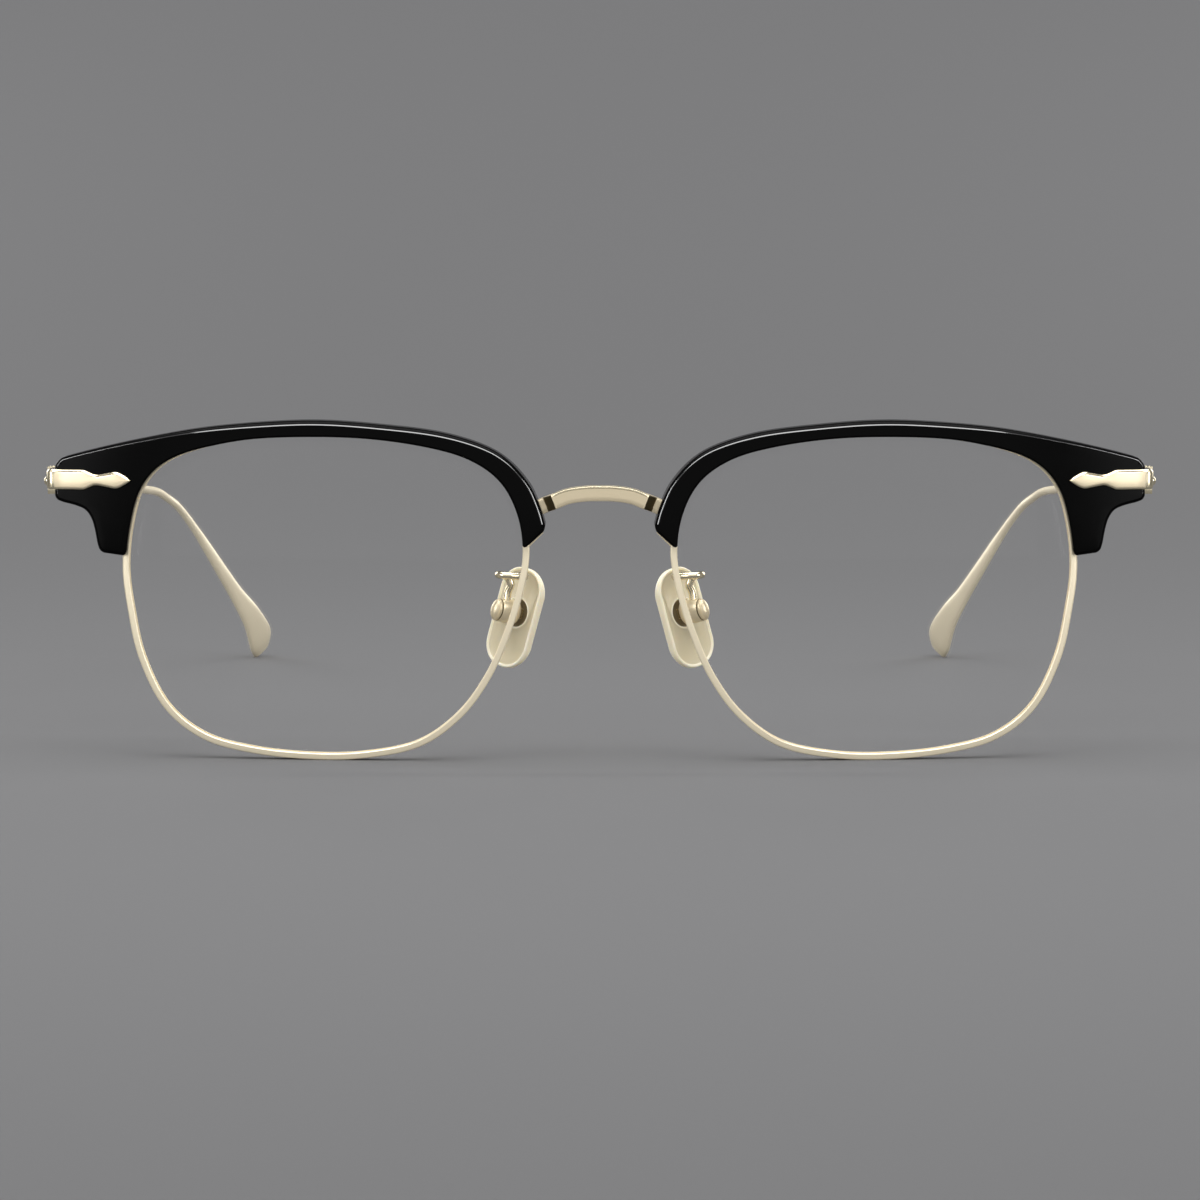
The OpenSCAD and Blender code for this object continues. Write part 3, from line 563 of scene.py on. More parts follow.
def lens_rings():
    edge = [(0.10, LENS_FRONT + 0.02), (0.03, LENS_FRONT + 0.1), (-GROOVE_D + 0.06, 0.95),
            (-GROOVE_D + 0.06, 1.05), (0.03, LENS_FRONT + LENS_T - 0.1),
            (0.10, LENS_FRONT + LENS_T - 0.02)]
    shares = [i / LENS_RINGS for i in range(1, LENS_RINGS + 1)]
    rings = []
    for share in shares[:-1]:
        rings.append([(MIDDLE + (p - MIDDLE) * share, LENS_FRONT) for p in grown(opening, -0.16)])
    rings += [[(p, o) for p in grown(opening, -d)] for d, o in [(0.16, LENS_FRONT)] + edge]
    for share in shares[::-1]:
        rings.append([(MIDDLE + (p - MIDDLE) * share, LENS_FRONT + LENS_T) for p in grown(opening, -0.16)])
    return [[(p.x, p.y, o) for p, o in ring] for ring in rings]


for side in SIDES:
    verts, faces = loft(lens_rings())
    ends = [faces.pop(), faces.pop()]
    for end, o in zip(ends, (LENS_FRONT + LENS_T, LENS_FRONT)):
        verts.append((MIDDLE.x, MIDDLE.y, o))
        faces += [(end[k], end[(k + 1) % len(end)], len(verts) - 1) for k in range(len(end))]
    lens = bent("lens_glass_" + side, side, verts, faces, clear, 50)
    dress(lens, "front", "clear_lens", "lens_" + side)

# %% [markdown]
# ## Brows
# The brows are cut from acetate sheet 4 mm thick, rounded over along their front edges and then
# polished. Their outline is the difference between the top curve and the lens opening. The
# rounding is made from rings of points that step inwards as they come forwards. Inside the last
# ring the face is filled with small triangles, so that it can follow the ball without facets. A
# channel for the rim and a seat for the plaque are cut with booleans, as they are milled.

# %% Outline of a brow
BROW_H = 2.1
BROW_REACH_X = END_X - 35.55
BROW_TOP = [
    (35, 15.25), (33.6, 15.85), (26, 17.7), (16.5, 19.5), (7.5, 20.4), (0, 20.62), (-8, 20.05),
    (-15, 19.15), (-20.5, 17.55), (-24, 15.5), (-26.7, 12.45), (-28.1, 9.4), (-28.72, 7.3),
]
BROW_NOSE = [(-28.55, 6.4), (-26.3, 4.4), (-25.92, 4.32)]
BROW_FOOT = [(26.2, 2.9), (29.1, 3.25), (29.6, 3.7)]
BROW_HOLLOW = [(29.85, 4.6), (30.2, 6.4), (30.65, 7.75), (31.4, 8.75), (32.6, 9.3), (34.3, 9.7)]
BROW_END = [(35.2, 10.0), (35.55, 10.5), (35.55, 14.6)]
RIM_REVEAL = 0.25


def reveal(x):
    """How far the brow draws back from the rim's inner edge on the temple side."""
    return RIM_REVEAL * min(max((x - LENS_X - 13.9) / 7.7, 0), 1)


def rounded(points, radius, steps=4):
    """Rounds the corners of a closed outline that turn by more than a few degrees."""
    out = []
    for i, p in enumerate(points):
        before, after = points[i - 1] - p, points[(i + 1) % len(points)] - p
        if before.angle(-after) < radians(14):
            out.append(p)
            continue
        reach = min(radius, before.length * 0.45, after.length * 0.45)
        a, b = p + before.normalized() * reach, p + after.normalized() * reach
        for k in range(steps + 1):
            t = k / steps
            out.append(a * (1 - t) ** 2 + p * 2 * t * (1 - t) + b * t ** 2)
    return out


def brow_point(u, v):
    x = BROW_REACH_X + u if u > 25 else LENS_X + u
    return Vector((x, LENS_Z + BROW_H + v))


def brow_outline():
    top = [brow_point(*p) for p in smooth_open(BROW_TOP, 8)]
    nose = [brow_point(*p) for p in BROW_NOSE]
    edge = [p + outward(opening, i) * reveal(p.x) for i, p in enumerate(opening)]
    n = len(edge)
    first = min(range(n // 4, 3 * n // 4), key=lambda i: (edge[i] - nose[-1]).length)
    lens_side = [edge[(first - k) % n] for k in range(n)]
    last = next(i for i, p in enumerate(lens_side) if p.x > LENS_X and p.y < LENS_Z + 5.2)
    foot = [brow_point(*p) for p in BROW_FOOT]
    hollow = [brow_point(*p) for p in smooth_open(BROW_HOLLOW, 4)]
    end = [brow_point(*p) for p in BROW_END]
    lens_side = [p for p in lens_side[:last] if (p - nose[-1]).length > 0.25]
    return rounded(top + nose + lens_side + foot + hollow + end, 0.35)


def on_lens_side(p):
    """Whether an outline point lies on the edge round the lens."""
    return min((p - q).length for q in opening) < 0.45 and p.y > LENS_Z + 5


outline = brow_outline()
print("brow outline:", len(outline), "points")

# %% Rounding of a brow's edge
def inset_by(p):
    """How much of the front edge is rounded over: most above the lens, less towards the ends."""
    tip = min((p - brow_point(-26.1, 4.4)).length / 4, 1)
    u = p.x - LENS_X
    full = 0.74 - 0.3 * min(max((u - 10) / 18, 0), 1) - 0.12 * min(max((-u - 15) / 10, 0), 1)
    if on_lens_side(p):
        full = 0.3
    return 0.14 + (full - 0.14) * tip


def even_inset(points):
    """The inset of each point, smoothed along the outline so that it never jumps."""
    sizes = [inset_by(p) for p in points]
    for _ in range(6):
        sizes = [(sizes[i - 1] + sizes[i] * 2 + sizes[(i + 1) % len(sizes)]) / 4 for i in range(len(sizes))]
    return sizes


print("insets:", round(min(even_inset(outline)), 2), "to", round(max(even_inset(outline)), 2), "mm")

# %% Fill a flat outline
def filled(ring, step):
    """Points and triangles that fill a ring, with a grid of points inside it."""
    xs, ys = [p.x for p in ring], [p.y for p in ring]
    inside = []
    rows = int((max(ys) - min(ys)) / step)
    for row in range(1, rows):
        y = min(ys) + row * step
        hits = sorted(a.x + (b.x - a.x) * (y - a.y) / (b.y - a.y)
                      for a, b in zip(ring, ring[1:] + ring[:1]) if (a.y > y) != (b.y > y))
        for left, right in zip(hits[::2], hits[1::2]):
            count = max(int((right - left - step) / step), 0)
            x0 = (left + right - count * step) / 2 + (row % 2 - 0.5) * step * 0.3
            inside += [Vector((x0 + k * step, y)) for k in range(count + 1) if right - left > 1.2 * step]
    inside = [p for p in inside if min((p - q).length for q in ring) > 0.45 * step]
    edges = [(i, (i + 1) % len(ring)) for i in range(len(ring))]
    points, _, faces, *_ = delaunay_2d_cdt(list(ring) + inside, edges, [], 1, 1e-6)
    return points, faces


def filled_loft(levels, step):
    """A closed solid through rings of (point, depth), its two ends filled with small triangles."""
    verts = [(p.x, p.y, o) for level in levels for p, o in level]
    n = len(levels[0])
    faces = ring_faces(len(levels), n)
    for level in (0, len(levels) - 1):
        points, triangles = filled([p for p, _ in levels[level]], step)
        extra = len(verts) - n
        verts += [(p.x, p.y, levels[level][0][1]) for p in points[n:]]
        faces += [[level * n + i if i < n else extra + i for i in t] for t in triangles]
    return verts, faces


# %% Body of a brow and the tools that cut it
def brow_levels():
    """The brow's outline from its back to its front: up the side, then over the rounded edge."""
    sizes = even_inset(outline)
    normals = [outward(outline, i) for i in range(len(outline))]
    sides = [(BROW_BACK, 0.3), (BROW_BACK - 0.08, 0.13), (BROW_BACK - 0.25, 0.0), (0.6, 0.0)]
    levels = [[(p - n * share, o) for p, n in zip(outline, normals)] for o, share in sides]
    for turn in (0, 10, 22, 34, 45, 54, 61, 67, 71, 75, 79, 84, 90):
        c, s = cos(radians(turn)), sin(radians(turn))
        levels.append([(p - n * size * (1 - c), -BROW_LIP + size * (1 - s))
                       for p, n, size in zip(outline, normals, sizes)])
    return levels


def cutter(name, side, ring, front, back):
    """A solid with this outline between two depths, to cut from a brow."""
    levels = [[(p, front + (back - front) * k / 4) for p in ring] for k in range(5)]
    return bent(name, side, *filled_loft(levels, 3.0), acetate)


def cut(piece, tool):
    modifier = piece.modifiers.new("cut", "BOOLEAN")
    modifier.operation = "DIFFERENCE"
    modifier.solver = "EXACT"
    modifier.object = tool
    apply_modifiers(piece)
    bpy.data.objects.remove(tool)


# %% [markdown]
# ## Outline of the plaque
# Each brow carries a small metal plaque in the shape of a spearhead. Its back half wraps round
# the end of the brow and runs back along its side. The brow needs its outline for the seat, so it
# comes first: the distance from the tip, and the height there as a share of the full height.

# %% Plaque outline
PLAQUE_H = 2.6
PLAQUE_LEN = 10.2
FACE_Z = LENS_Z + 14.8
PLAQUE_TIP = END_X - PLAQUE_LEN
PLAQUE_SHAPE = [
    (0, 0.01), (0.75, 0.46), (1.9, 0.83), (3.2, 0.7), (4.6, 0.54), (5.5, 0.76), (6.2, 0.97), (7, 1),
]
spear = smooth_open(PLAQUE_SHAPE, 6) + [Vector((8, 1)), Vector((9, 1)), Vector((PLAQUE_LEN, 1))]
seat = [Vector((PLAQUE_TIP + p.x, FACE_Z - p.y * PLAQUE_H / 2)) for p in spear]
seat += [Vector((END_X + 1, FACE_Z - PLAQUE_H / 2)), Vector((END_X + 1, FACE_Z + PLAQUE_H / 2))]
seat += [Vector((PLAQUE_TIP + p.x, FACE_Z + p.y * PLAQUE_H / 2)) for p in reversed(spear[1:])]
print("plaque outline:", len(spear), "stations")

# %% [markdown]
# Now a brow can be built and cut twice, once for the rim and once for the plaque. The shinier
# black of the painted highlight goes on the upper faces of its rounding that lean from the ball
# by 11 to 22 degrees.

# %% Make the brows
for side in SIDES:
    brow = bent("brow_" + side + "_acetate", side, *filled_loft(brow_levels(), 1.0), acetate)
    cut(brow, cutter("channel", side, grown(opening, RIM_T + 0.03), -0.03, 6))
    cut(brow, cutter("seat", side, grown(seat, 0.06), -4, -0.77))
    finished(brow, acetate, 38)
    # The shinier black is a painted highlight, on the upper band of the rounding only.
    brow.data.materials.append(highlight_black)
    ball = Vector((SIDES[side] * CURVE_X, CURVE_R + SHIFT, LENS_Z)) * MM
    for face in brow.data.polygons:
        lean = degrees(face.normal.angle(face.center - ball))
        upper = face.normal.z > (face.center - ball).normalized().z
        face.material_index = int(11 < lean < 22 and upper and face.area < 0.3 * MM * MM)
    print("edge faces:", sum(face.material_index for face in brow.data.polygons))
    dress(brow, "front", "black_acetate", "brow_" + side)

# %% [markdown]
# ## Plaques
# A plaque is stamped from 1 mm sheet with a bevelled rim, then bent round the brow's end. Its
# section (bevel, flat face, bevel) is carried along the plan of that bend. The bevels come from
# a polished die and the bend from a polished former, so they shine more than the face.

# %% Plaques
WRAP_T = 1.15
PLAQUE_FACE = -BROW_LIP - 0.3
WRAP_Y = shell_y(END_X, FACE_Z, PLAQUE_FACE) + WRAP_T
WRAP_BACK = AXIS_Y - BARREL_R - 0.1
GAP_X = END_X + 0.06
PLAQUE_BEVEL = 0.26


def plaque_point(s, z, sink):
    """Point on the plaque's plan: s mm from its tip, sunk below its face."""
    wave = shell_y(END_X, z, PLAQUE_FACE) - shell_y(END_X, FACE_Z, PLAQUE_FACE)
    x = PLAQUE_TIP + s
    if x <= END_X:
        return (x, shell_y(x, z, PLAQUE_FACE + sink), z)
    angle = min((x - END_X) / WRAP_T, pi / 2)
    r = WRAP_T - 0.06 - sink
    beyond = max(x - END_X - WRAP_T * pi / 2, 0)
    return (GAP_X + r * sin(angle), WRAP_Y - (r + 0.06) * cos(angle) + wave * cos(angle) + beyond, z)


def plaque_rings():
    """The bevelled section at each station from the tip, round the bend and down the side."""
    stations = [Vector(p) for p in spear]
    stations += [Vector((PLAQUE_LEN + WRAP_T * pi / 2 * k / 8, 1)) for k in range(1, 9)]
    turn_end = stations[-1].x
    length = WRAP_BACK - WRAP_Y
    stations += [Vector((turn_end + length * k / 3, 1)) for k in (1, 2)]
    stations += [Vector((turn_end + length - 0.2, 1)), Vector((turn_end + length, 0.86))]
    rings = []
    for index, station in enumerate(stations):
        half = station.y * PLAQUE_H / 2
        bevel = min(PLAQUE_BEVEL, half * 0.5)
        deep = 0.7 if station.x < PLAQUE_LEN else WRAP_T - 0.08
        last = 0.2 if index == len(stations) - 1 else 0.0
        levels = [(-half, deep), (-half, bevel + last), (-half + bevel * 0.3, bevel * 0.55 + last)]
        levels += [(-half + bevel, 0.03 + last), (-half + bevel * 1.5, last), (0, last)]
        levels += [(-z, sink) for z, sink in levels[-2::-1]] + [(0, deep)]
        rings.append([plaque_point(station.x, FACE_Z + z, sink) for z, sink in levels])
    return rings


for side in SIDES:
    plaque = add_piece("plaque_plate_" + side, side, *loft(plaque_rings()), struck, 30)
    plaque.data.materials.append(bright)
    for face in plaque.data.polygons:
        face.material_index = int(abs(face.center.x) > (END_X - 0.1) * MM or abs(face.normal.z) > 0.3)
    dress(plaque, "front", "gold_metal", "plaque_" + side)

# %% [markdown]
# ## Hard parts with broken edges
# The hinges, endpieces, closing blocks, screws and rivets are turned, stamped or milled, and
# their edges are never razor sharp. The solids already have their shapes, heads and slots, so
# each one is copied, its flat faces are joined again, and a small bevel rounds every sharp edge.
# The bevel catches the light as a thin bright line. It is narrowest on the smallest parts.

# %% Copy a solid and break its edges
def broken_edges(node, width, body="front"):
    piece = placed(node + "_finished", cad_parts[node].data.copy())
    bm = bmesh.new()
    bm.from_mesh(piece.data)
    bmesh.ops.remove_doubles(bm, verts=bm.verts, dist=0.004 * MM)
    bmesh.ops.dissolve_limit(bm, angle_limit=radians(1), verts=bm.verts, edges=bm.edges)
    bm.to_mesh(piece.data)
    bm.free()
    bevel = piece.modifiers.new("bevel", "BEVEL")
    bevel.width = width * MM
    bevel.segments = 2
    bevel.limit_method = "ANGLE"
    bevel.angle_limit = radians(40)
    bevel.miter_outer = "MITER_ARC"
    dress(finished(apply_modifiers(piece), bright, 32), body, "gold_metal", node)


EDGES = {
    "endpiece_": 0.12, "hinge_front_": 0.1, "rim_lock_": 0.1, "brow_screws_": 0.06, "closing_screw_": 0.06,
    "hinge_screw_": 0.05, "pad_screw_": 0.05, "plaque_rivet_": 0.03,
}
for side in SIDES:
    broken_edges("hinge_temple_" + side, 0.1, "temple_" + side)
    broken_edges("pad_insert_" + side, 0.06, "pad_" + side)
    for name, width in EDGES.items():
        broken_edges(name + side, width)

# %% [markdown]
# ## Bridge
# The bridge is a flat strip of 2 mm by 1.3 mm, bent to an arch whose ends step back behind the
# brows. Its front edges are bevelled, and the upper bevel shows as a bright line above a fine
# dark line, which is painted shade on a narrow strip of the face. The strip is a section carried
# along the arch. The short slope of each step gets painted shade too, so that it shows as a dark
# band. Behind each brow a small block joins the strip to a lug, which takes a screw.

# %% Bridge strip
ARCH_Z = LENS_Z + 14.4 - 1.0
ARCH = [
    (0, 0), (1.5, -0.02), (3, -0.17), (4.4, -0.45), (5.6, -0.95), (7.5, -1.75), (9, -2.5), (10.8, -3.55),
]
BRIDGE_H = 2.0
BRIDGE_T = 1.3
BRIDGE_END_Y = shell_y(9, ARCH_Z - 2, 0) + 0.03
BRIDGE_STEP = 1.5
STEP_X = (6.0, 7.05)
BEVEL_TOP, BEVEL_LOW = 0.3, 0.16
# Width of the flat strip under the top bevel that gets painted shade as a dark line.
SHADE_LINE_W = 0.055


def mix(a, b, t):
    return a + (b - a) * t


# %% The arch and its steps
def arch_height(x):
    """Height of the arch's middle line at a distance from the middle of the nose."""
    line = smooth_open(ARCH, 10)
    for a, b in zip(line, line[1:]):
        if a.x <= abs(x) <= b.x:
            return ARCH_Z + mix(a.y, b.y, (abs(x) - a.x) / (b.x - a.x))
    return ARCH_Z + line[-1].y


def stepped(x, early=0.0):
    """Depth of the strip's face: forward in the middle, back beyond the step."""
    t = min(max((abs(x) - STEP_X[0] + early) / (STEP_X[1] - STEP_X[0]), 0), 1)
    return BRIDGE_END_Y - BRIDGE_STEP * (1 - t)


print("the arch drops by", round(arch_height(0) - arch_height(STEP_X[1]), 2), "mm to its steps")

# %% Rings of the strip, the lugs and the edges
def strip_rings():
    """Rings of the strip's section from one end of the arch to the other."""
    xs = [k * 0.4 for k in range(15)] + [5.8, 5.93, 6.0, 6.06, 6.99, 7.05, 7.12, 7.3, 7.7, 8.2, 8.8, 9.4, 9.8]
    xs = [-x for x in xs[:0:-1]] + xs
    h, top, low = BRIDGE_H / 2, BEVEL_TOP, BEVEL_LOW
    profile = [(-h, 1.0), (-h, low / BRIDGE_T), (-h + 0.3 * low, 0.3 * low / BRIDGE_T), (-h + low, 0),
               (-0.4, 0), (h - top - SHADE_LINE_W, 0), (h - top, 0), (h - 0.25 * top, 0.3 * top / BRIDGE_T),
               (h, top / BRIDGE_T), (h, 1.0)]
    rings = []
    for x in xs:
        z = arch_height(x)
        slope = (arch_height(x + 0.05) - arch_height(x - 0.05)) / 0.1
        along = Vector((1, slope)).normalized()
        up = Vector((-along.y, along.x))
        front, back = stepped(x), stepped(x, 0.55) + BRIDGE_T
        rings.append([(x + up.x * v, mix(front, back, share), z + up.y * v) for v, share in profile])
    return rings


def lug_rings():
    """The lug as rings (across, up, back) of a slot shape between the strip and its screw."""
    low, high = Vector((9.3, ARCH_Z - 2.7)), Vector((LENS_X - 24.7, LENS_Z + 15.35))
    turn = atan2(high.y - low.y, high.x - low.x)
    halves = [(end, turn + radians(a)) for end, first in ((high, -90), (low, 90))
              for a in range(first, first + 195, 15)]
    rings = []
    for o, r in ((2.83, 0.98), (2.9, 1.05), (3.62, 1.05), (3.7, 1.02), (3.73, 0.95)):
        ring = [end + Vector((cos(a), sin(a))) * r for end, a in halves]
        rings.append([(p.x, p.y, o) for p in ring])
    return rings


def edge_rings():
    """The turned-down edge of the bridge's end, which shows past the brow's slanted cut."""
    corners = [brow_point(*p) for p in ((-28.25, 6.2), (-28.42, 6.1), (-26.4, 4.13), (-26.25, 4.26))]
    return [[(p.x, p.y, o) for p in corners] for o in (0.1, 1.0, 2.0)]


# %% Make the bridge
def joined(name, pieces):
    """Joins several meshes into one piece."""
    bm = bmesh.new()
    for piece in pieces:
        bm.from_mesh(piece.data)
        bpy.data.objects.remove(piece)
    mesh = bpy.data.meshes.new(name)
    bm.to_mesh(mesh)
    bm.free()
    return placed(name, mesh)


BLOCK_X = (8.4, 9.6)
BLOCK_Y = (BRIDGE_END_Y + 0.6, shell_y(9, ARCH_Z - 2, 3.7))
corners = [(y, z) for z in (-0.85, 0.85) for y in (BLOCK_Y if z < 0 else BLOCK_Y[::-1])]
block_rings = [[(x, y, arch_height(x) + z) for y, z in corners] for x in BLOCK_X]
parts = [add_piece("strip", "left", *loft(strip_rings()), struck)]
for side in SIDES:
    parts.append(bent("lug", side, *loft(lug_rings()), struck))
    parts.append(bent("edge", side, *loft(edge_rings()), struck))
    parts.append(add_piece("block", side, *loft(block_rings), struck))
bridge = finished(joined("bridge_strip", parts), struck, 30)
bridge.data.materials.append(painted_shade_gold)
bridge.data.materials.append(bright)
# The step slopes and the narrow strip under the top bevel get the dark gold of painted shade. The top bevel
# gets polished gold.
for face in bridge.data.polygons:
    middle = face.center / MM
    height = middle.z - arch_height(middle.x)
    in_front = middle.y - SHIFT < BRIDGE_END_Y + 0.4
    between_steps = abs(middle.x) < STEP_X[0]
    on_step = not between_steps and abs(middle.x) < STEP_X[1] and in_front and abs(face.normal.x) > 0.5
    narrow = face.normal.y < -0.95 and face.area < 0.06 * MM * MM
    on_shade_line = between_steps and narrow and height > 0.5
    on_bevel = between_steps and face.normal.z > 0.25 and face.normal.y < -0.25
    face.material_index = 1 if on_step or on_shade_line else 2 * int(on_bevel)
print("recess faces:", sum(face.material_index == 1 for face in bridge.data.polygons))
dress(bridge, "front", "gold_metal", "bridge")

# %% [markdown]
# ## Temples
# Each temple starts as a flat blade behind the hinge, tapers into a nearly round wire, bends down
# behind the ear and ends in a flat paddle with a round tip. It is a path with a section that
# changes along it, so it is lofted: each ring is a rounded rectangle whose height, thickness,
# squareness and turn follow from short lists at its place on the path.

# %% Temple path
TEMPLE_LEN = 92
TEMPLE_IN = 3.4
TEMPLE_H = 3.2
TEMPLE_T = 1.1
WIRE_H = 1.24
PADDLE_W = 5
PADDLE_T = 1
PADDLE_TURN = 32
LEAF_LEN = 7
BEND_PATH = [
    (-0.18, -5, -0.3), (0, 0, 0), (0.8, 5, 0.65), (1.7, 8.2, 1.65), (2.9, 10.8, 2.95), (4, 13.1, 4.65),
    (5.3, 15.5, 6.95), (6.9, 18.4, 10.05), (8.95, 22, 14.15), (11.05, 25.8, 18.35), (13.05, 29.3, 22.2),
    (14.2, 32.6, 26), (14.1, 34.6, 28.2),
]
BEND_SPREAD = [0, 0, 0, 0, 0, 0.01, 0.04, 0.14, 0.25, 0.38, 0.68, 1, 0.53]
STRAIGHT = [
    (0, 0), (0.03, 0.03), (0.08, 0.15), (0.14, 0.4), (0.2, 0.65), (0.27, 0.85), (0.35, 0.96), (0.45, 1),
    (0.945, 1),
]


# %% Rings of a temple
def round_way(count):
    """Cosine and sine of each of the even steps round a circle."""
    turns = [2 * pi * k / count for k in range(count)]
    return [(cos(a), sin(a)) for a in turns]


def squared(value, power):
    """Bends a cosine or sine but keeps its sign, which gives a circle squarer corners."""
    return abs(value) ** power * (1 if value > 0 else -1)


def section_at(place, along, height, thick, turn, square):
    """A ring of points on a flattened circle, square to the path."""
    along = Vector(along).normalized()
    up = Vector((0, -along.z, along.y)).normalized()
    out = along.cross(up)
    a = radians(turn)
    tall, wide = up * cos(a) + out * sin(a), out * cos(a) - up * sin(a)
    return [Vector(place) + tall * (height / 2 * squared(c, square)) + wide * (thick / 2 * squared(s, square))
            for c, s in round_way(28)]


def bend_rings():
    """Rings from 5 mm before the bend to the paddle, counted from the start of the bend."""
    path = smooth_open([(-i, b, -d, s) for (i, b, d), s in zip(BEND_PATH, BEND_SPREAD)], 6)
    rings = []
    for i in range(1, len(path)):
        p = path[i]
        along = (path[min(i + 1, len(path) - 1)] - path[i - 1]).to_3d()
        spread = min(max(p[3], 0), 1)
        flat = min(2 * spread, 1)
        turn = min(max(i - 6, 0) / (len(path) - 21), 1) * PADDLE_TURN
        rings.append(section_at(p.to_3d(), along, mix(WIRE_H, PADDLE_W * 1.06, spread),
                                mix(0.85 * WIRE_H, PADDLE_T, flat), -turn, 1 - 0.25 * flat))
    return rings, path


def capped(rings, reach):
    """Adds rings that close the last one to a round tip."""
    middle = sum(rings[-1], Vector((0, 0, 0))) / len(rings[-1])
    tips = []
    for t in (0.3, 0.6, 0.85, 0.97):
        shrink = sqrt(1 - t * t)
        tips.append([middle + (p - middle) * shrink + reach * t for p in rings[-1]])
    return rings + tips


# %% Put a temple together
rings, path = bend_rings()
tip_way = (path[-1] - path[-2]).to_3d().normalized() * 0.45
rings[-1] = [p - tip_way for p in rings[-1]]
rings = capped(rings, tip_way)
drop = -min(p.z for ring in rings for p in ring)
TEMPLE_Y = AXIS_Y + BARREL_R + 0.25
bend_start = Vector((HINGE.x + TEMPLE_T / 2 - TEMPLE_IN, AXIS_Y + TEMPLE_LEN, drop))
temple_start = Vector((HINGE.x + TEMPLE_T / 2, TEMPLE_Y, HINGE_Z))
blade = []
for t, taper in smooth_open(STRAIGHT, 3):
    taper = min(max(taper, 0), 1)
    along = bend_start - temple_start if t > 0.01 else (0, 1, 0)
    tall, thick = mix(TEMPLE_H, WIRE_H, taper), mix(TEMPLE_T, 0.85 * WIRE_H, taper)
    blade.append(section_at(temple_start.lerp(bend_start, t), along, tall, thick, 0, mix(0.4, 1, taper)))
whole = blade + [[p + bend_start for p in ring] for ring in rings]
print("temple:", len(whole), "rings, tip at", round(max(p.y for ring in whole for p in ring) + SHIFT, 2))

# %% [markdown]
# The leaf of the hinge lies flat in the inside of the blade, which is cut away there to make
# room for it. A box takes that room out of the blade.

# %% Make the temples
LEAF_X = (HINGE.x - 1.9, HINGE.x + 0.015)
LEAF_Y = (TEMPLE_Y - 5, AXIS_Y + LEAF_LEN)
for side, sign in SIDES.items():
    temple = add_piece("temple_wire_" + side, side, *loft(whole), gold)
    mesh = bpy.data.meshes.new("leaf_room")
    room = bmesh.new()
    bmesh.ops.create_cube(room, size=1)
    for vert in room.verts:
        x, y = mix(*LEAF_X, vert.co.x + 0.5), mix(*LEAF_Y, vert.co.y + 0.5)
        vert.co = Vector((sign * x, y + SHIFT, HINGE_Z + vert.co.z * 5)) * MM
    bmesh.ops.recalc_face_normals(room, faces=room.faces)
    room.to_mesh(mesh)
    room.free()
    cut(temple, bpy.data.objects.new("leaf_room", mesh))
    finished(temple, gold, 38)
    dress(temple, "temple_" + side, "gold_metal", "temple_" + side)

# %% [markdown]
# ## Pad arms
# A pad arm is a 1 mm wire, soldered to the back of the rim, bent outwards into a loop and dropped
# onto its pad box. A wire along a path is what Geometry Nodes make from two curves, so one tree
# sweeps a circle along listed points. The same numbers place the pad and its box.

# %% Where a pad is fastened
PAD_PLACE = Vector((11.05, 8.1, LENS_Z - 2.75))
PAD_TURN = 41
PAD_LEAN = 15
BOX_R = 1.6
ARM_D = 1.0
ARM_PATH = [
    (0.2, -4.1, 5.15), (1.6, -3.8, 5.2), (2.2, -3, 5.2), (1.7, -2.25, 5.1), (0.95, -1.95, 4.7),
    (0.6, -1.95, 3.8),
]


def pad_point(x, y, z):
    """A point of the pad's own frame, whose front face looks along -y, in the glasses' frame."""
    a, b = radians(PAD_TURN), radians(PAD_LEAN)
    across, back = x * cos(a) - y * sin(a), x * sin(a) + y * cos(a)
    return PAD_PLACE + Vector((across * cos(b) - z * sin(b), back, across * sin(b) + z * cos(b)))


def arm_points():
    z = PAD_PLACE.z + 5.15
    foot_x = min(p.x for p in opening if abs(p.y - z) < 1.2) - RIM_T / 2
    foot = Vector((foot_x, shell_y(foot_x, z, RIM_D) - 0.15, z))
    end = pad_point(0, -2.4, BOX_R - 0.25)
    loop = [foot, foot + Vector((0.1, 0.9, 0))] + [PAD_PLACE + Vector(p) for p in ARM_PATH]
    return smooth_open(loop + [end + Vector((-0.2, 0.05, 1.2)), end], 8)


def arm_tree():
    """Sweeps a circle along this object's edges."""
    inputs = [("Radius", "Float", ARM_D / 2 * MM), ("Metal", "Material", None)]
    tree, start, end = new_tree("round_wire", inputs)
    path = fed(tree, start.outputs["Geometry"], "GeometryNodeMeshToCurve")
    circle = fed(tree, start.outputs["Radius"], "GeometryNodeCurvePrimitiveCircle", "Radius", Resolution=20)
    painted_sweep(tree, start, end, path, circle)
    return tree


print("pad at", [round(v, 2) for v in PAD_PLACE], "and an arm of", len(arm_points()), "points")

# %% Bend the pad arms
round_wire = arm_tree()
for side, sign in SIDES.items():
    points = [Vector((sign * p.x, p.y + SHIFT, p.z)) * MM for p in arm_points()]
    arm = placed("pad_arm_wire_" + side, line_mesh("pad_arm_wire_" + side, points))
    grown_by(arm, round_wire, Radius=ARM_D / 2 * MM, Metal=bright)
    finished(turned_out(arm), bright, 50)
    dress(arm, "front", "gold_metal", "pad_arm_" + side)
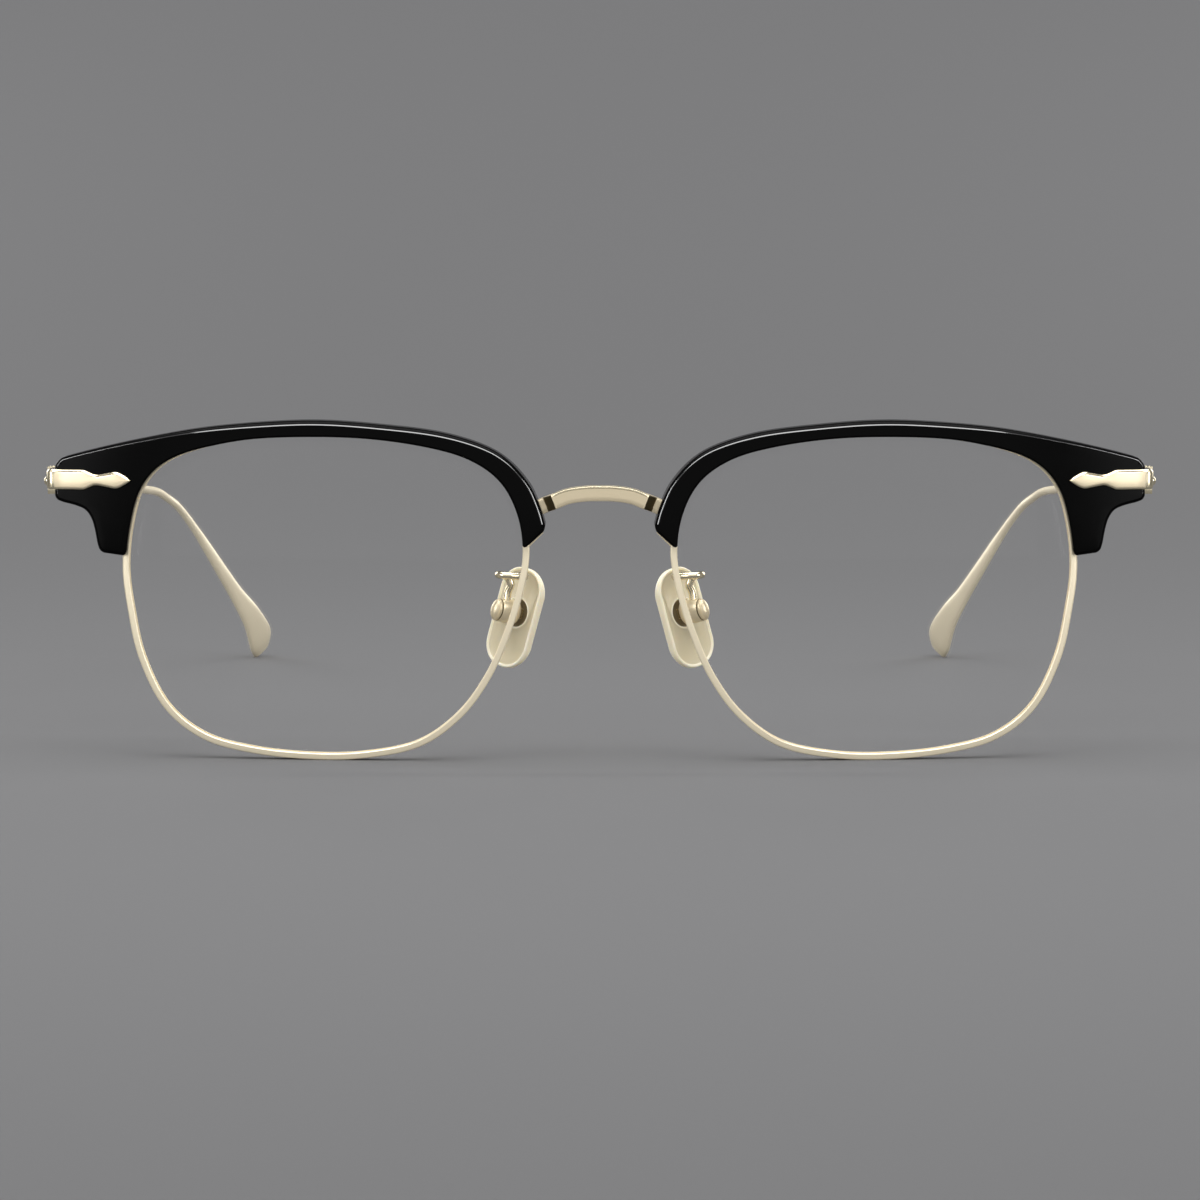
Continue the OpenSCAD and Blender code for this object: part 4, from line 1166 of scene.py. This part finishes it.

# %% [markdown]
# ## Pad boxes
# A pad box is a little barrel soldered to the end of the arm. Its far end is a smooth dome
# behind a turned groove, and its sides are flattened where the cross screw goes through. It is
# lofted along the pad's own axis, from rings that are ovals with a squareness of their own. The
# groove gets a dull, dark gold as painted shade.

# %% Pad boxes
BOX_FRONT = 4.5
BOX_MOUTH = 0.35
BARREL_SIDES = 32
DOME_TURNS = (8, 20, 33, 46, 58, 70, 80, 90)
GROOVE_LEVELS = range(len(DOME_TURNS), len(DOME_TURNS) + 3)
BARREL_SHAPE = [
    (-3.72, 0.9, 1.44, 1.0), (-3.68, 0.78, 1.3, 1.0), (-3.56, 0.78, 1.3, 1.0), (-3.52, 0.92, 1.44, 0.95),
    (-3.4, 0.98, 1.5, 0.9), (-2.4, 1.16, 1.58, 0.8), (-1.0, 1.28, 1.6, 0.8), (-0.5, 1.26, 1.58, 0.85),
    (-BOX_MOUTH - 0.02, 1.18, 1.5, 0.9), (-BOX_MOUTH, 1.05, 1.38, 0.9),
]


def barrel_rings():
    """Rings from the dome to the open end: distance, half width, half height and squareness."""
    dome = [(cos(radians(a)), sin(radians(a))) for a in DOME_TURNS]
    stations = [(-BOX_FRONT + 0.75 * (1 - c), 0.9 * s, 1.45 * s, 1.0) for c, s in dome] + BARREL_SHAPE
    way = round_way(BARREL_SIDES)
    return [[pad_point(wide * squared(c, power), y, tall * squared(s, power)) for c, s in way]
            for y, wide, tall, power in stations]


for side in SIDES:
    barrel = add_piece("pad_box_barrel_" + side, side, *loft(barrel_rings()), struck, 42)
    barrel.data.materials.append(painted_shade_gold)
    # The rings of the groove get the dark gold: painted shade.
    for face in barrel.data.polygons:
        face.material_index = int(face.index // BARREL_SIDES in GROOVE_LEVELS)
    dress(barrel, "front", "gold_metal", "pad_box_" + side)

# %% [markdown]
# ## Nose pads
# A silicone pad is moulded round a metal insert. Its front has a raised rim and a shallow dish,
# with a round well for the pad box, and its back is crowned where it rests on the nose. It is
# made of rings of the same rounded outline: up the front dish, over the rim and round the back.

# %% Pad outline and section
PAD_W = 7.1
PAD_H = 13.4
PAD_T = 1.8
PAD_CORNER = 3.2
PAD_MIDDLE = Vector((0.3, -0.7))
PAD_CROWN_R = 25
WELL_R = 1.95
WELL_D = 0.6


def pad_ring(inset):
    """Rounded outline of the pad, drawn in by an inset."""
    corner = max(PAD_CORNER, inset + 0.05)
    r = max(PAD_CORNER - inset, 0.05)
    ring = []
    for sx, sz, start in ((1, 1, 0), (-1, 1, 90), (-1, -1, 180), (1, -1, 270)):
        x, z = PAD_MIDDLE.x + sx * (PAD_W / 2 - corner), PAD_MIDDLE.y + sz * (PAD_H / 2 - corner)
        turns = [radians(start + k * 90 / 11) for k in range(12)]
        ring += [Vector((x + r * cos(a), z + r * sin(a))) for a in turns]
    return ring


def pad_back(p):
    """Depth of the crowned back of the pad."""
    away = p - PAD_MIDDLE
    return PAD_T - PAD_CROWN_R + sqrt(PAD_CROWN_R ** 2 - away.length_squared)


print("pad outline:", len(pad_ring(0)), "points")

# %% Rings of a pad
WELL_RINGS, LIP_RINGS, DISH_RINGS = 3, 6, 9
WELL = [
    (0.4, WELL_D), (WELL_R - 0.22, WELL_D), (WELL_R - 0.12, WELL_D - 0.1), (WELL_R - 0.1, 0.2),
    (WELL_R - 0.02, 0.06), (WELL_R + 0.08, 0.02), (WELL_R + 0.18, 0.06), (WELL_R + 0.3, 0.22),
]
LIP = [
    (0.62, 0.26), (0.44, 0.2), (0.32, 0.08), (0.24, 0.02), (0.16, 0.01), (0.08, 0.05), (0.02, 0.14), (0, 0.3),
]
BACK = [(0, 0.35), (0.03, 0.2), (0.12, 0.08), (0.28, 0.02), (0.5, 0), (1.0, 0), (1.7, 0), (2.4, 0), (3.0, 0)]


def pad_rings():
    """Rings from the front's well, over the rim, to the middle of the back."""
    first = pad_ring(0)[0]
    n = len(pad_ring(0))
    angles = [atan2(first.y, first.x) + 2 * pi * k / n for k in range(n)]
    levels = [[(r * cos(a), y, r * sin(a)) for a in angles] for r, y in WELL]
    levels += [[(p.x, y, p.y) for p in pad_ring(inset)] for inset, y in LIP]
    levels += [[(p.x, max(pad_back(p) - lift, 0.42), p.y) for p in pad_ring(inset)] for inset, lift in BACK]
    return [[pad_point(*Vector(p)) for p in level] for level in levels]


for side in SIDES:
    pad = add_piece("nose_pad_" + side + "_moulded", side, *loft(pad_rings()), milky, 60)
    pad.data.materials.append(dished)
    pad.data.materials.append(shaded)
    ring = len(pad_ring(0))
    for face in pad.data.polygons:
        level = face.index // ring
        face.material_index = 2 if level < WELL_RINGS else int(LIP_RINGS <= level < DISH_RINGS)
    dress(pad, "pad_" + side, "silicone", "nose_pad_" + side)

# %% [markdown]
# ## Floor and backdrop
# The glasses stand on plain grey paper that rises behind them in one sweep, so that there is no
# line between floor and wall. A slow change of grey comes from the lamps and not from the paper.

# %% Stage
FLOOR_FRONT, SWEEP_START, SWEEP_R, WALL_TOP = -2.5, 0.3, 1.8, 4.0
paper = finish("grey_paper", (0.122, 0.122, 0.1245), marks=(EVEN, 900, 2, 0.02, 0.0001), Roughness=0.95)
turns = [a * pi / 40 for a in range(21)]
profile = [(FLOOR_FRONT, 0.0)]
profile += [(SWEEP_START + SWEEP_R * sin(a), SWEEP_R - SWEEP_R * cos(a)) for a in turns]
profile += [(SWEEP_START + SWEEP_R, WALL_TOP)]
mesh = bpy.data.meshes.new("stage")
verts = [(x, y, z) for y, z in profile for x in (-3.5, 3.5)]
mesh.from_pydata(verts, [], [(i, i + 1, i + 3, i + 2) for i in range(0, len(verts) - 2, 2)])
mesh.shade_smooth()
mesh.materials.append(paper)
placed("stage", mesh)
print("stage:", len(mesh.polygons), "faces")

# %% [markdown]
# ## Light
# Gloss shows what is around it. The flat faces of the brows mirror very little, so a wide soft
# lamp in front can fill the gold with pale light while they stay black. The lamps overhead and
# high in front make the thin bright line on the brows' rounded edge and the bridge's bevel.
# Lamps at both sides, before and behind, round off the wires, and a long one lights the wall.

# %% Lamps
scene.view_settings.view_transform = "Standard"
world = bpy.data.worlds.new("world")
scene.world = world
world.use_nodes = True
background = world.node_tree.nodes["Background"]
background.inputs["Color"].default_value = (1.0, 1.0, 1.01, 1)
background.inputs["Strength"].default_value = 0.24


def softbox(name, at, aim, width, height, power):
    lamp = bpy.data.lights.new(name, "AREA")
    lamp.shape = "RECTANGLE"
    lamp.size = width
    lamp.size_y = height
    lamp.energy = power
    holder = placed(name, lamp)
    holder.location = at
    holder.rotation_euler = (Vector(aim) - Vector(at)).to_track_quat("-Z", "Y").to_euler()


AIM = (0, 0, 0.03)
softbox("overhead", (0, -0.13, 0.42), (0, -0.13, 0), 0.5, 0.3, 1.9)
softbox("front_top", (0, -1.0, 0.95), AIM, 1.5, 0.45, 5.2)
softbox("front_fill", (0, -1.45, 0.15), AIM, 1.8, 0.7, 3.1)
for side, sign in (("left", -1), ("right", 1)):
    softbox(side + "_side", (sign * 0.85, -0.7, 0.3), AIM, 0.45, 0.6, 3.4)
    softbox(side + "_back", (sign * 0.75, 0.75, 0.35), AIM, 0.7, 0.7, 4.5)
softbox("wall", (0, 0.5, 1.5), (0, 1.9, 0.7), 2.0, 0.4, 28)
